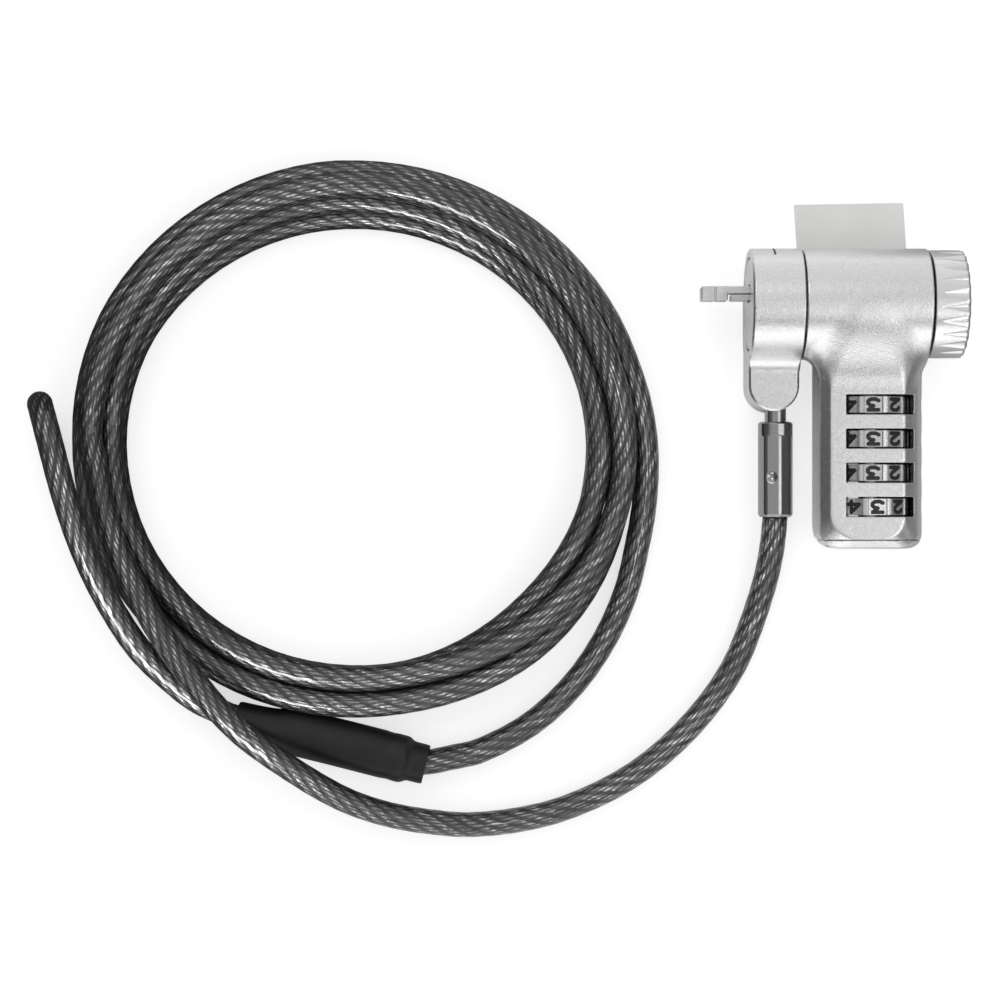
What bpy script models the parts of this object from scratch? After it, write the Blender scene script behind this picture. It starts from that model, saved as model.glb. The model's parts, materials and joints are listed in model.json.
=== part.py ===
"""Laptop cable lock: a combination lock head on a swivel, with its steel cable, crimped eye and coil.

Lengths are written in millimetres on a layout whose origin lies on the floor under the middle of the lay-out;
put() turns them into metres in the part's own frame, whose origin is on the floor under the middle of the head.
X runs along the lock's barrel from its nose to its knob, Y up the paddle towards the barrel, Z up from the floor.
"""

import math

import bmesh
import bpy
from mathutils import Matrix, Vector

for ob in list(bpy.data.objects):
    bpy.data.objects.remove(ob, do_unlink=True)

# --- driving sizes, mm ---------------------------------------------------------------------------------------------
MM = 0.001
HEAD_X, HEAD_Y = 64.7, 24.9  # the middle of the head on the layout
GAP = 0.3  # the air between two pieces that meet

BARREL_Y, BARREL_Z, BARREL_R = 38.28, 10.9, 10.85
COLLAR_X0, COLLAR_X1 = 48.55, 58.65
BODY_X0, BODY_X1 = 58.95, 83.2
KNOB_X0, KNOB_X1, KNOB_R, FLUTES = 83.6, 90.4, 10.55, 24
NOSE_X0, NOSE_X1, NOSE_R = 48.65, 50.0, 8.9
SPIGOT_R, COLLAR_BORE, NOSE_RECESS = 6.5, 6.8, 9.2
TONGUE_X0, TONGUE_X1, TONGUE_Y, TONGUE_Z = 48.6, 58.45, 17.4, 12.0

HOOK_X, HOOK_HEAD_X1, WEDGE_X = 39.0, 44.4, 45.0
HOOK_Y0, HOOK_Y1, SHANK_Y0, WEDGE_Y1 = 38.9, 41.65, 40.25, 39.95
HOOK_Z0, HOOK_Z1 = 8.4, 13.4
WEDGE_TRAVEL = 4.0

PADDLE_Y0, CAP_Y1, CAP_Y0 = -7.6, -7.9, -9.6
PADDLE_FACE = 15.9
DIAL_X, DIAL_Z, DIAL_R, DIAL_W = 72.5, 8.0, 7.9, 3.3
DIAL_Y = [18.53, 11.91, 5.29, -1.33]
POCKET_R, POCKET_W = 8.2, 3.9
WINDOW_X0, WINDOW_X1 = 67.1, 80.5
SPINDLE_R = 2.0

STEM_X, STEM_Z, STEM_R = 54.4, 6.0, 2.1
FERRULE_Y0, FERRULE_Y1, FERRULE_AF = -3.36, 15.4, 6.6

CABLE_D = 5.0
COIL_X, COIL_Y, COIL_RX, COIL_RY = -28.9, 10.3, 48.45, 46.1
SLEEVE_END, SLEEVE_MOUTH = (-14.66, -52.47, 4.75), (-52.3, -43.0, 5.6)
EYE_R = 9.6  # the bend at the eye's far end
LEAN = 0.00202  # how much nearer the middle of the lay-out the eye comes for each mm of height, as a share

COLOURS = {
    "satin_zinc": ((0.72, 0.72, 0.71), 0.34, 1.0),
    "knob_metal": ((0.76, 0.76, 0.75), 0.26, 1.0),
    "dark_chrome": ((0.34, 0.34, 0.35), 0.16, 1.0),
    "steel": ((0.55, 0.55, 0.56), 0.3, 1.0),
    "dial_metal": ((0.62, 0.62, 0.61), 0.3, 1.0),
    "brass": ((0.70, 0.55, 0.27), 0.35, 1.0),
    "cable_jacket": ((0.07, 0.07, 0.07), 0.25, 0.0),
    "black_shrink": ((0.018, 0.018, 0.02), 0.45, 0.0),
    "grey_label": ((0.70, 0.70, 0.70), 0.55, 0.0),
}


# --- helpers -------------------------------------------------------------------------------------------------------
def put(x, y, z):
    return Vector(((x - HEAD_X) * MM, (y - HEAD_Y) * MM, z * MM))


def finish(name, ob, slot):
    colour, rough, metal = COLOURS[slot]
    m = bpy.data.materials.new(f"{name}_{slot}")
    m.use_nodes = True
    b = m.node_tree.nodes["Principled BSDF"]
    b.inputs["Base Color"].default_value = (*colour, 1)
    b.inputs["Roughness"].default_value = rough
    b.inputs["Metallic"].default_value = metal
    ob.data.materials.clear()
    ob.data.materials.append(m)
    return ob


def solid(name, points, faces, slot=None, pivot=None, smooth=30):
    """A closed mesh from layout points; pivot is the layout point that becomes the object's origin."""
    at = put(*(pivot or (HEAD_X, HEAD_Y, 0)))
    me = bpy.data.meshes.new(name)
    me.from_pydata([put(*p) - at for p in points], [], faces)
    bm = bmesh.new()
    bm.from_mesh(me)
    bmesh.ops.remove_doubles(bm, verts=bm.verts, dist=1e-7)
    bmesh.ops.recalc_face_normals(bm, faces=bm.faces)
    bm.to_mesh(me)
    bm.free()
    if smooth:
        me.shade_smooth()
        me.set_sharp_from_angle(angle=math.radians(smooth))
    ob = bpy.data.objects.new(name, me)
    ob.location = at
    bpy.context.collection.objects.link(ob)
    return finish(name, ob, slot) if slot else ob


def rings(loops, closed=False):
    """Points and faces of a skin over equal rings; closed joins the last ring to the first, else both ends are capped."""
    n = len(loops[0])
    points = [p for loop in loops for p in loop]
    faces, last = [], len(loops) if closed else len(loops) - 1
    for i in range(last):
        a, b = i * n, (i + 1) % len(loops) * n
        faces += [(a + k, a + (k + 1) % n, b + (k + 1) % n, b + k) for k in range(n)]
    if not closed:
        faces += [tuple(range(n)), tuple((len(loops) - 1) * n + k for k in range(n))]
    return points, faces


def turned(axis, centre, profile, n=32, closed=False):
    """A turned body about X or Y. profile lists (station, radius); centre is the axis's two other coordinates."""
    loops = []
    for s, r in profile:
        loop = []
        for k in range(n):
            a = 2 * math.pi * (k + 0.5) / n
            c, d = r * math.cos(a), r * math.sin(a)
            loop.append((s, centre[0] + c, centre[1] + d) if axis == "X" else (centre[0] + c, s, centre[1] + d))
        loops.append(loop)
    return rings(loops, closed)


def prism(axis, outline, low, high):
    """An outline pushed along an axis: (y, z) along X, (x, z) along Y or (x, y) along Z."""
    lay = {"X": lambda s, p: (s, *p), "Y": lambda s, p: (p[0], s, p[1]), "Z": lambda s, p: (*p, s)}[axis]
    return rings([[lay(s, p) for p in outline] for s in (low, high)])


def box(x0, x1, y0, y1, z0, z1):
    return prism("Z", [(x0, y0), (x1, y0), (x1, y1), (x0, y1)], z0, z1)


def cut(ob, shape, operation="DIFFERENCE"):
    tool = solid(f"{ob.name}_tool_{len(ob.modifiers)}", *shape, smooth=0)
    tool.hide_render = True
    tool.hide_viewport = False
    tool.display_type = "WIRE"
    m = ob.modifiers.new(f"tool_{len(ob.modifiers)}", "BOOLEAN")
    m.operation, m.solver, m.object = operation, "EXACT", tool
    return m


def pivot_empty(name, x, y, z):
    e = bpy.data.objects.new(name, None)
    e.empty_display_size = 0.01
    e.location = put(x, y, z)
    bpy.context.collection.objects.link(e)
    return e


def hang(child, parent):
    bpy.context.view_layer.update()
    child.parent = parent
    child.matrix_parent_inverse = parent.matrix_world.inverted()


def ease(table, t):
    """A smooth reading of a table of (t, values...) rows."""
    if t <= table[0][0]:
        return table[0][1:]
    if t >= table[-1][0]:
        return table[-1][1:]
    i = max(k for k in range(len(table) - 1) if table[k][0] <= t)
    p = [table[min(max(i + k, 0), len(table) - 1)] for k in (-1, 0, 1, 2)]
    step = p[2][0] - p[1][0]
    s, out = (t - p[1][0]) / step, []
    for c in range(1, len(p[1])):
        m1 = (p[2][c] - p[0][c]) / (p[2][0] - p[0][0]) * step
        m2 = (p[3][c] - p[1][c]) / (p[3][0] - p[1][0]) * step
        out.append((2 * s**3 - 3 * s**2 + 1) * p[1][c] + (s**3 - 2 * s**2 + s) * m1
                   + (3 * s**2 - 2 * s**3) * p[2][c] + (s**3 - s**2) * m2)
    return out


def through(stops, step):
    """Points every step along one smooth curve through the stops."""
    stops = [Vector(p) for p in stops]
    fine = []
    for i in range(len(stops) - 1):
        p0, p1, p2, p3 = (stops[min(max(i + k, 0), len(stops) - 1)] for k in (-1, 0, 1, 2))
        d1 = max((p2 - p1).length, 1e-9)
        d0, d2 = max((p1 - p0).length, d1 / 2), max((p3 - p2).length, d1 / 2)
        m1 = (p2 - p1) if i == 0 else (p2 - p0) / (d0 + d1) * d1
        m2 = (p2 - p1) if i == len(stops) - 2 else (p3 - p1) / (d1 + d2) * d1
        for k in range(16):
            s = k / 16
            fine.append((2 * s**3 - 3 * s**2 + 1) * p1 + (s**3 - 2 * s**2 + s) * m1
                        + (3 * s**2 - 2 * s**3) * p2 + (s**3 - s**2) * m2)
    fine.append(stops[-1])
    long = sum((b - a).length for a, b in zip(fine, fine[1:]))
    count = max(2, round(long / step))
    out, walked, j = [fine[0]], 0.0, 1
    for a, b in zip(fine, fine[1:]):
        d = (b - a).length
        while j < count and walked + d >= long * j / count:
            out.append(a.lerp(b, (long * j / count - walked) / d))
            j += 1
        walked += d
    return out + [fine[-1]]


def cable_tube(name, points):
    cu = bpy.data.curves.new(name, "CURVE")
    cu.dimensions = "3D"
    cu.bevel_depth = CABLE_D / 2 * MM
    cu.bevel_resolution = 2
    cu.use_fill_caps = True
    sp = cu.splines.new("POLY")
    sp.points.add(len(points) - 1)
    for p, q in zip(sp.points, points):
        p.co = (*put(*q), 1)
    ob = bpy.data.objects.new(name, cu)
    bpy.context.collection.objects.link(ob)
    return finish(name, ob, "cable_jacket")


# --- the cable -----------------------------------------------------------------------------------------------------
# The pile of turns: each turn's place is (distance out from the innermost turn, height), by the angle clockwise from
# the coil's top. Four turns lie two on two; the fifth rides outside the pile over the top and leaves at the right.
SQUARE = 3.57
INNER_LOW, OUTER_LOW, INNER_UP, OUTER_UP = (0.0, 2.52), (5.03, 2.52), (0.0, 7.57), (5.03, 7.57)
TOP = {1: (5.3, 11.4), 2: (2.6, 7.0), 3: (0.0, 2.52), 4: (5.1, 2.52), 5: (8.1, 6.75)}
TO_RIGHT = {
    1: [(0, *TOP[1]), (50, 4.75, 10.65), (70, 4.6, 10.2), (80, 4.8, 9.2), (92, *OUTER_UP)],
    2: [(0, *TOP[2]), (50, 1.0, 7.35), (70, 0.3, 7.55), (92, *INNER_UP)],
    3: [(0, *TOP[3]), (92, *INNER_LOW)],
    4: [(0, *TOP[4]), (92, *OUTER_LOW)],
    5: [(0, *TOP[5]), (70, 8.15, 6.7), (80, 8.65, 6.0), (90, 9.35, 5.0), (100, 10.1, 3.8), (110, 11.2, 2.9)],
}
PULLED_IN = [(140, 0.0), (185, -0.5), (205, -0.62), (235, -0.8), (262, -0.75), (300, 0.0)]


def place(turn, phi):
    """Where turn 1 to 5 lies at phi degrees; turn 0 is the lead's arrival on the pile at the left."""
    if turn == 0:
        return ease([(270, 2.75, 12.15), (315, 4.0, 11.95), (360, *TOP[1])], phi)
    if phi <= 92 or turn == 5:
        return ease(TO_RIGHT[turn], phi)
    if phi <= 270:
        s = min(max((phi - 97) / 76, 0), 1)
        twist = math.radians(90 * s * s * (3 - 2 * s))
        corner = math.radians({1: 45, 2: 135, 3: 225, 4: 315}[turn]) + twist
        return (2.515 + SQUARE * math.cos(corner),
                5.045 + 1.06 * math.sin(2 * twist) + SQUARE * math.sin(corner))
    start = {1: INNER_UP, 2: INNER_LOW, 3: OUTER_LOW, 4: OUTER_UP}[turn]
    return ease([(262, *start), (272, *start), (350, *TOP[turn + 1]), (370, *TOP[turn + 1])], phi)


def on_coil(turn, phi, out=0.0, up=None):
    u, z = place(turn, phi)
    if 1 <= turn <= 4:
        u += ease(PULLED_IN, phi)[0]
    return ring_point(u + out, z if up is None else up, phi)


def ring_point(u, z, phi):
    a = math.radians(phi)
    return (COIL_X + (COIL_RX + u) * math.sin(a), COIL_Y + (COIL_RY + u) * math.cos(a), z)


LEAD = [  # from the ferrule down to the floor, round below the coil, over the eye's mouth and up onto the pile
    (54.3, -4.05, 5.95), (53.9, -8.9, 5.2), (52.5, -16.7, 3.6), (50.3, -23.7, 2.7), (47.7, -30.7, 2.52),
    (44.0, -37.2, 2.52), (39.4, -43.2, 2.52), (34.2, -48.6, 2.52), (28.5, -53.3, 2.52), (22.2, -57.2, 2.52),
    (15.5, -60.3, 2.52), (8.6, -62.6, 2.6), (1.4, -63.9, 2.8), (-5.8, -64.5, 3.4), (-12.8, -63.9, 4.4),
    (-19.6, -62.7, 5.8), (-26.0, -60.8, 7.4), (-32.0, -58.1, 9.4), (-37.6, -54.6, 11.3), (-44.4, -49.9, 13.2),
    (-50.8, -44.8, 14.2), (-56.4, -38.9, 14.3), (-63.7, -29.6, 13.7), (-67.8, -23.2, 13.2), (-71.3, -17.0, 12.8),
    (-75.5, -7.8, 12.5), (-77.8, 0.0, 12.3), (-79.0, 6.5, 12.2),
]
TAIL = [  # from where the last turn leaves the coil to the crimp sleeve
    (25.2, -17.8, 2.52), (20.9, -27.6, 2.52), (14.6, -36.7, 2.52), (6.3, -44.4, 2.52), (-3.8, -49.8, 2.6),
    (-9.9, -51.2, 3.2), (-14.2, -52.0, 4.0),
]
EYE_PLAN = [  # the eye stands on its edge; this is its line on the floor, from the sleeve's mouth to its far end
    (-53.3, -42.7), (-60.0, -39.6), (-65.6, -35.2), (-70.6, -30.4), (-74.5, -25.1), (-79.3, -16.8),
    (-83.2, -7.9), (-86.3, 1.3), (-89.1, 11.8), (-91.0, 19.0),
]

cable_tube("cable_lead", through(LEAD[:-1], 8.5))  # its last stretch on the pile belongs to the coil

tail = through([on_coil(5, 106.5), on_coil(5, 110)] + TAIL, 8.0)
cable_tube("cable_tail", tail)

plan = through([(x, y, 0) for x, y in EYE_PLAN], 2.4)
walk = [0.0]
for a, b in zip(plan, plan[1:]):
    walk.append(walk[-1] + (b - a).length)
long = walk[-1]


def plan_at(t):
    i = max(k for k in range(len(walk) - 1) if walk[k] <= min(t, long - 1e-6))
    return plan[i].lerp(plan[i + 1], (t - walk[i]) / (walk[i + 1] - walk[i]))


def eye_half(t):
    s = min(t / (long - EYE_R), 1)
    return 2.52 + (EYE_R - 2.52) * s * s * (3 - 2 * s)


def leaning(p, z):
    """The eye leans in over the coil: the higher a point, the nearer it is to the middle of the lay-out."""
    k = 1 - (z - 5.6) * LEAN
    return (p.x * k, p.y * k, z)


under, over = [], []
count = 11
for k in range(count + 1):
    t = (long - EYE_R) * k / count
    p = plan_at(t)
    drop = 0.6 * max(0, 1 - t / 14) ** 2
    under.append(leaning(p, 2.52 + drop))
    over.append(leaning(p, 2.52 + drop + 2 * eye_half(t)))
tip = []
for k in range(1, 9):
    a = math.pi * k / 9
    p = plan_at(long - EYE_R + EYE_R * math.sin(a))
    tip.append(leaning(p, 2.52 + EYE_R - EYE_R * math.cos(a)))
cable_tube("cable_loop", under + tip + over[::-1])

# the coil as one ring: its section at each angle encloses the turns there
angles = [0, 12, 24, 36, 48, 60, 72, 84, 93, 99, 103, 112, 124, 136, 148, 160, 172, 184, 196, 208, 220, 232, 244,
          256, 262, 266, 276, 288, 300, 312, 324, 336, 348]
loops = []
for phi in angles:
    turns = [1, 2, 3, 4] + ([5] if phi < 100 else []) + ([0] if phi > 263 else [])
    if phi == 0:
        turns = [1, 2, 3, 4, 5]
    spots = [(place(t, phi)[0] + (ease(PULLED_IN, phi)[0] if 1 <= t <= 4 else 0), place(t, phi)[1]) for t in turns]
    low, high = min(s[0] for s in spots) - 2.25, max(s[0] for s in spots) + 2.0
    top = max(s[1] for s in spots) + 2.3
    if 180 <= phi <= 263:
        top = min(top, 9.25)
    crown = [s[0] for s in spots if s[1] + 2.3 > top - 0.5]
    c0, c1 = max(low + 0.8, min(crown) - 1.6), min(high - 0.8, max(crown) + 1.6)
    side = 7.6 if top > 9.5 else top - 1.2
    section = [(low, 0.9), (low + 0.9, 0.04), (high - 0.9, 0.04), (high, 0.9), (high, side), (c1, top), (c0, top),
               (low, side)]
    loops.append([ring_point(u, z, phi) for u, z in section])
solid("cable_coil", *rings(loops, closed=True), "cable_jacket", smooth=40)

# --- the crimped eye's sleeve --------------------------------------------------------------------------------------
end, mouth = Vector(SLEEVE_END), Vector(SLEEVE_MOUTH)
along = (mouth - end)
sleeve_long = along.length
flat = Vector((along.x, along.y, 0)).normalized()
across = Vector((flat.y, -flat.x, 0))


def sleeve_loop(s, wide, high, mid, n=24):
    """A rounded section at s mm from the sleeve's plain end: half width, half height, height of its middle."""
    p = end + along * (s / sleeve_long)
    loop = []
    for k in range(n):
        a = 2 * math.pi * (k + 0.5) / n
        c, d = math.cos(a), math.sin(a)
        q = Vector((p.x, p.y, mid)) + across * (wide * c) + Vector((0, 0, high * d))
        loop.append(tuple(q))
    return loop


COVER = [(0.0, 3.95, 3.95, 4.3), (3.2, 3.98, 3.98, 4.3), (4.2, 4.65, 4.6, 4.7), (27.5, 4.65, 4.65, 4.72),
         (31.0, 3.9, 5.0, 5.1), (sleeve_long, 3.3, 5.5, 5.62)]
outer = [sleeve_loop(s, w, h, m) for s, w, h, m in COVER]
inner = [sleeve_loop(s, w - 0.55, h - 0.42, m) for s, w, h, m in COVER]
solid("sleeve_cover", *rings(outer + inner[::-1], closed=True), "black_shrink")
crimp = [sleeve_loop(s, w - 0.9, h - 0.78, m) for s, w, h, m in
         [(4.4, *COVER[2][1:]), (27.3, *COVER[3][1:]), (31.0, *COVER[4][1:]), (sleeve_long - 2.2, 3.42, 5.35, 5.55)]]
solid("crimp_sleeve", *rings(crimp), "steel")

# --- the ferrule and the swivel it turns on ------------------------------------------------------------------------


def ferrule_loop(y, flats, r, n=32):
    loop = []
    for k in range(n):
        a = 2 * math.pi * k / n
        if flats:
            turn = (math.degrees(a) - 84 + 22.5) % 45 - 22.5
            rr = flats / 2 / math.cos(math.radians(22.5 - abs(turn))) if flats else r
            rr = min(rr, flats / 2 * 1.075)
        else:
            rr = r
        loop.append((STEM_X + rr * math.cos(a), y, STEM_Z + rr * math.sin(a)))
    return loop


f0, f1, af = FERRULE_Y0, FERRULE_Y1, FERRULE_AF
solid("cable_ferrule", *rings([
    ferrule_loop(f0, 0, 3.0), ferrule_loop(f0 + 0.4, af, 0), ferrule_loop(f1 - 2.5, af, 0),
    ferrule_loop(f1 - 2.2, 0, 3.4), ferrule_loop(f1 - 0.3, 0, 3.4), ferrule_loop(f1, 0, 3.15),
    ferrule_loop(f1, 0, 2.4), ferrule_loop(f1 - 3.4, 0, 2.4)]), "dark_chrome")
stem_at = (STEM_X, STEM_Z)
solid("swivel_stem", *turned("Y", stem_at, [
    (f1 - 3.0, 1.8), (f1 - 2.7, STEM_R), (21.2, STEM_R), (21.2, 3.1), (22.3, 3.1), (22.5, 2.8)], 24), "dark_chrome",
    pivot=(STEM_X, 21.2, STEM_Z))

cable_pivot = pivot_empty("cable_swivel_axis", STEM_X, 20.4, STEM_Z)
head_pivot = pivot_empty("head_swivel_axis", COLLAR_X1, BARREL_Y, BARREL_Z)
hang(head_pivot, cable_pivot)

washer = solid("thrust_washer", *turned("Y", stem_at, [(20.5, 2.4), (20.5, 3.2), (20.9, 3.2), (20.9, 2.4)], 24, True),
               "brass", pivot=(STEM_X, 20.5, STEM_Z))
plug = solid("stem_plug", *turned("Y", stem_at, [(22.85, 3.0), (23.1, 3.2), (26.6, 3.2), (26.6, 1.2), (25.2, 1.2)],
                                  24), "steel", pivot=(STEM_X, 24.7, STEM_Z))

axis_at = (BARREL_Y, BARREL_Z)
collar = solid("swivel_collar", *turned("X", axis_at, [
    (COLLAR_X0, BARREL_R - 0.4), (COLLAR_X0 + 0.4, BARREL_R), (COLLAR_X1, BARREL_R)], 48), "satin_zinc",
    pivot=(STEM_X, 20.4, STEM_Z))
half = (TONGUE_X1 - TONGUE_X0) / 2
mid_x = (TONGUE_X0 + TONGUE_X1) / 2
tongue = [(TONGUE_X1, BARREL_Y - 1), (TONGUE_X0, BARREL_Y - 1)] + [
    (mid_x - half * math.cos(math.pi * k / 14), TONGUE_Y + half - half * math.sin(math.pi * k / 14)) for k in range(15)]
cut(collar, prism("Z", tongue, 0.05, TONGUE_Z), "UNION")
cut(collar, prism("X", [(25.6, 11.7), (27.0, 12.35), (28.2, 13.7), (29.0, 15.4), (33.0, 14.5), (33.0, 11.0),
                        (25.6, 11.0)], TONGUE_X0 + 0.35, TONGUE_X1 - 0.25), "UNION")
cut(collar, turned("X", axis_at, [(COLLAR_X0 - 1, NOSE_RECESS), (NOSE_X1 + GAP, NOSE_RECESS),
                                  (NOSE_X1 + GAP, COLLAR_BORE), (COLLAR_X1 + 1, COLLAR_BORE)], 48))
cut(collar, turned("Y", stem_at, [(16.0, 2.4), (20.2, 2.4), (20.2, 3.5), (33.4, 3.5)], 24))

# --- the lock body -------------------------------------------------------------------------------------------------
PADDLE = [(63.4, 0.0), (81.4, 0.0), (82.7, 1.2), (83.1, 5.0), (83.1, 8.5), (82.45, 11.3), (80.95, 13.5),
          (78.4, PADDLE_FACE), (64.0, PADDLE_FACE), (62.15, 14.0), (62.15, 1.25)]
body_pivot = (BODY_X0, BARREL_Y, BARREL_Z)
housing = solid("lock_housing", *turned("X", axis_at, [
    (NOSE_X1 + 0.4, SPIGOT_R), (BODY_X0, SPIGOT_R), (BODY_X0, BARREL_R), (BODY_X1, BARREL_R)], 48),
    "satin_zinc", pivot=body_pivot)
cut(housing, prism("Y", PADDLE, PADDLE_Y0, 36.0), "UNION")
cut(housing, prism("Z", [(BODY_X0 + 0.05, 31.0), (BODY_X0 + 0.05, 27.75), (60.5, 27.0), (61.5, 25.8), (62.35, 23.6),
                         (66.0, 23.4), (66.0, 31.0)], 3.0, 13.9), "UNION")
cut(housing, prism("Z", [(80.0, 31.0), (80.0, 24.9), (82.75, 24.9), (82.95, 26.6), (BODY_X1 - 0.05, 27.65),
                         (BODY_X1 - 0.05, 31.0)], 3.0, 12.4), "UNION")
cut(housing, prism("X", [(24.8, 15.2), (24.8, PADDLE_FACE + 0.02), (27.2, 16.3), (29.2, 17.4), (30.9, 18.8), (34.0, 18.0),
                         (34.0, 15.2)], 64.1, 78.2), "UNION")
cut(housing, turned("X", axis_at, [(61.6, 5.0), (BODY_X1 + 1, 5.0)], 32))
cut(housing, box(NOSE_X1 - 1, 62.5, HOOK_Y0 - 0.3, HOOK_Y1 + 0.35, HOOK_Z0 - 0.3, HOOK_Z1 + 0.3))
cut(housing, box(BODY_X0 - 2, BODY_X1 + 2, 28.7, 62, -1.0, 0.66))
for y in DIAL_Y:
    w = POCKET_W / 2
    cut(housing, turned("Y", (DIAL_X, DIAL_Z), [(y - w, POCKET_R), (y + w, POCKET_R)], 40))
    cut(housing, box(WINDOW_X0, WINDOW_X1, y - w + 0.02, y + w - 0.02, DIAL_Z + 0.5, PADDLE_FACE + 1))
    cut(housing, box(DIAL_X - 3, DIAL_X + 3, y - w + 0.02, y + w - 0.02, -1, 2.5))
cut(housing, turned("Y", (DIAL_X, DIAL_Z), [(PADDLE_Y0 - 1, SPINDLE_R + GAP), (22.3, SPINDLE_R + GAP)], 24))
cut(housing, box(63.45, 65.4, -3.2, 20.4, 6.4, 9.6))
for x in (65.6, 79.4):
    cut(housing, turned("Y", (x, DIAL_Z), [(PADDLE_Y0 - 1, 1.1), (-3.9, 1.1)], 12))
hang(housing, head_pivot)
for ob in (washer, plug, collar):
    hang(ob, cable_pivot)

nose = solid("nose_plate", *turned("X", axis_at, [
    (NOSE_X0, NOSE_R - 0.25), (NOSE_X0 + 0.25, NOSE_R), (NOSE_X1, NOSE_R)], 48), "satin_zinc", pivot=body_pivot)
cut(nose, box(NOSE_X0 - 1, NOSE_X1 + 1, HOOK_Y0 - 0.3, HOOK_Y1 + 0.35, HOOK_Z0 - 0.3, HOOK_Z1 + 0.3))
hook_plan = [(HOOK_X + 0.35, HOOK_Y0), (HOOK_HEAD_X1, HOOK_Y0), (HOOK_HEAD_X1, SHANK_Y0), (61.2, SHANK_Y0),
             (61.2, HOOK_Y1), (HOOK_X + 0.35, HOOK_Y1), (HOOK_X, HOOK_Y1 - 0.4), (HOOK_X, HOOK_Y0 + 0.4)]
hook = solid("hook_bar", *prism("Z", hook_plan, HOOK_Z0, HOOK_Z1), "steel", pivot=body_pivot)

cap_mid = (72.5, 7.95)


def cap_loop(y, shrink):
    return [(cap_mid[0] + (x - cap_mid[0]) * (1 - shrink / 10.35), y,
             cap_mid[1] + (z - cap_mid[1]) * (1 - shrink / 7.95)) for x, z in PADDLE]


cap = solid("bottom_cap", *rings([cap_loop(CAP_Y1, 0), cap_loop(-8.4, 0.12), cap_loop(-9.1, 0.7),
                                  cap_loop(CAP_Y0, 1.7)]), "satin_zinc", pivot=body_pivot)
cut(cap, turned("Y", (DIAL_X, DIAL_Z), [(CAP_Y0 - 1, 2.0), (CAP_Y1 + 1, 2.0)], 24))
for x in (65.6, 79.4):
    cut(cap, turned("Y", (x, DIAL_Z), [(CAP_Y0 - 1, 1.75), (-8.65, 1.75), (-8.65, 1.1), (CAP_Y1 + 1, 1.1)], 16))
cap_screws = [solid(f"cap_screw_{i}", *turned("Y", (x, DIAL_Z), [
    (-9.35, 1.1), (-9.2, 1.45), (-8.95, 1.45), (-8.95, 0.8), (-4.3, 0.8)], 16), "steel", pivot=body_pivot)
    for i, x in enumerate((65.6, 79.4), 1)]
spindle = solid("dial_spindle", *turned("Y", (DIAL_X, DIAL_Z), [(-5.0, SPINDLE_R), (22.0, SPINDLE_R)], 24), "steel",
                pivot=body_pivot)
leaf = solid("detent_leaf", *box(63.8, 64.1, -2.9, 20.0, 6.8, 9.2), "steel", pivot=body_pivot)
label = solid("label_tag", *prism("Z", [(58.75, 59.0), (59.35, 50.0), (60.6, 30.0), (82.4, 30.3), (81.2, 50.0),
                                        (80.6, 59.4)], 0.06, 0.36), "grey_label", pivot=body_pivot)
bushing = solid("shaft_bushing", *turned("X", axis_at, [(79.0, 3.3), (79.0, 4.7), (83.2, 4.7), (83.2, 3.3)], 32, True),
                "brass", pivot=body_pivot)
for ob in (nose, hook, cap, *cap_screws, spindle, leaf, label, bushing):
    hang(ob, head_pivot)

# --- the knob and what it drives -----------------------------------------------------------------------------------
knob_pivot = pivot_empty("knob_turn_axis", KNOB_X0, BARREL_Y, BARREL_Z)
hang(knob_pivot, head_pivot)


def knob_loop(x, r, flute, n=48):
    return [(x, BARREL_Y + (r - (flute if k % 2 else 0)) * math.cos(2 * math.pi * k / n),
             BARREL_Z + (r - (flute if k % 2 else 0)) * math.sin(2 * math.pi * k / n)) for k in range(n)]


knob_at = (KNOB_X0, BARREL_Y, BARREL_Z)
knob = solid("knob", *rings([
    knob_loop(87.0, 3.3, 0), knob_loop(KNOB_X0, 3.3, 0), knob_loop(KNOB_X0, KNOB_R, 0), knob_loop(85.4, KNOB_R, 0.05),
    knob_loop(89.0, KNOB_R, 0.5), knob_loop(90.0, KNOB_R - 0.9, 0.4), knob_loop(KNOB_X1, KNOB_R - 2.0, 0),
    knob_loop(KNOB_X1, 3.4, 0), knob_loop(88.2, 3.4, 0), knob_loop(88.2, 1.65, 0), knob_loop(87.0, 1.65, 0),
    ], closed=True), "knob_metal", pivot=knob_at)
shaft = solid("cam_shaft", *turned("X", axis_at, [
    (76.5, 1.8), (68.7, 1.8), (68.7, 3.0), (86.7, 3.0), (86.7, 1.6), (81.7, 1.6)], 32), "steel", pivot=knob_at)
clip = solid("retaining_ring", *turned("X", axis_at, [(77.7, 3.3), (77.7, 4.5), (78.5, 4.5), (78.5, 3.3)], 32, True),
             "steel", pivot=knob_at)
knob_screw = solid("knob_screw", *turned("X", axis_at, [
    (82.2, 1.0), (82.5, 1.3), (88.5, 1.3), (88.5, 2.7), (88.8, 3.0), (89.7, 3.0), (90.0, 2.6)], 24), "steel",
    pivot=knob_at)
for ob in (knob, shaft, clip, knob_screw):
    hang(ob, knob_pivot)

wedge = solid("wedge_bar", *turned("X", axis_at, [(61.9, 4.4), (64.4, 4.4), (64.4, 1.2), (72.0, 1.2)], 24), "steel",
              pivot=(WEDGE_X, BARREL_Y, BARREL_Z))
cut(wedge, box(WEDGE_X, 62.6, HOOK_Y0 + 0.05, WEDGE_Y1, HOOK_Z0 + 0.2, HOOK_Z1 - 0.2), "UNION")
hang(wedge, head_pivot)

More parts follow.
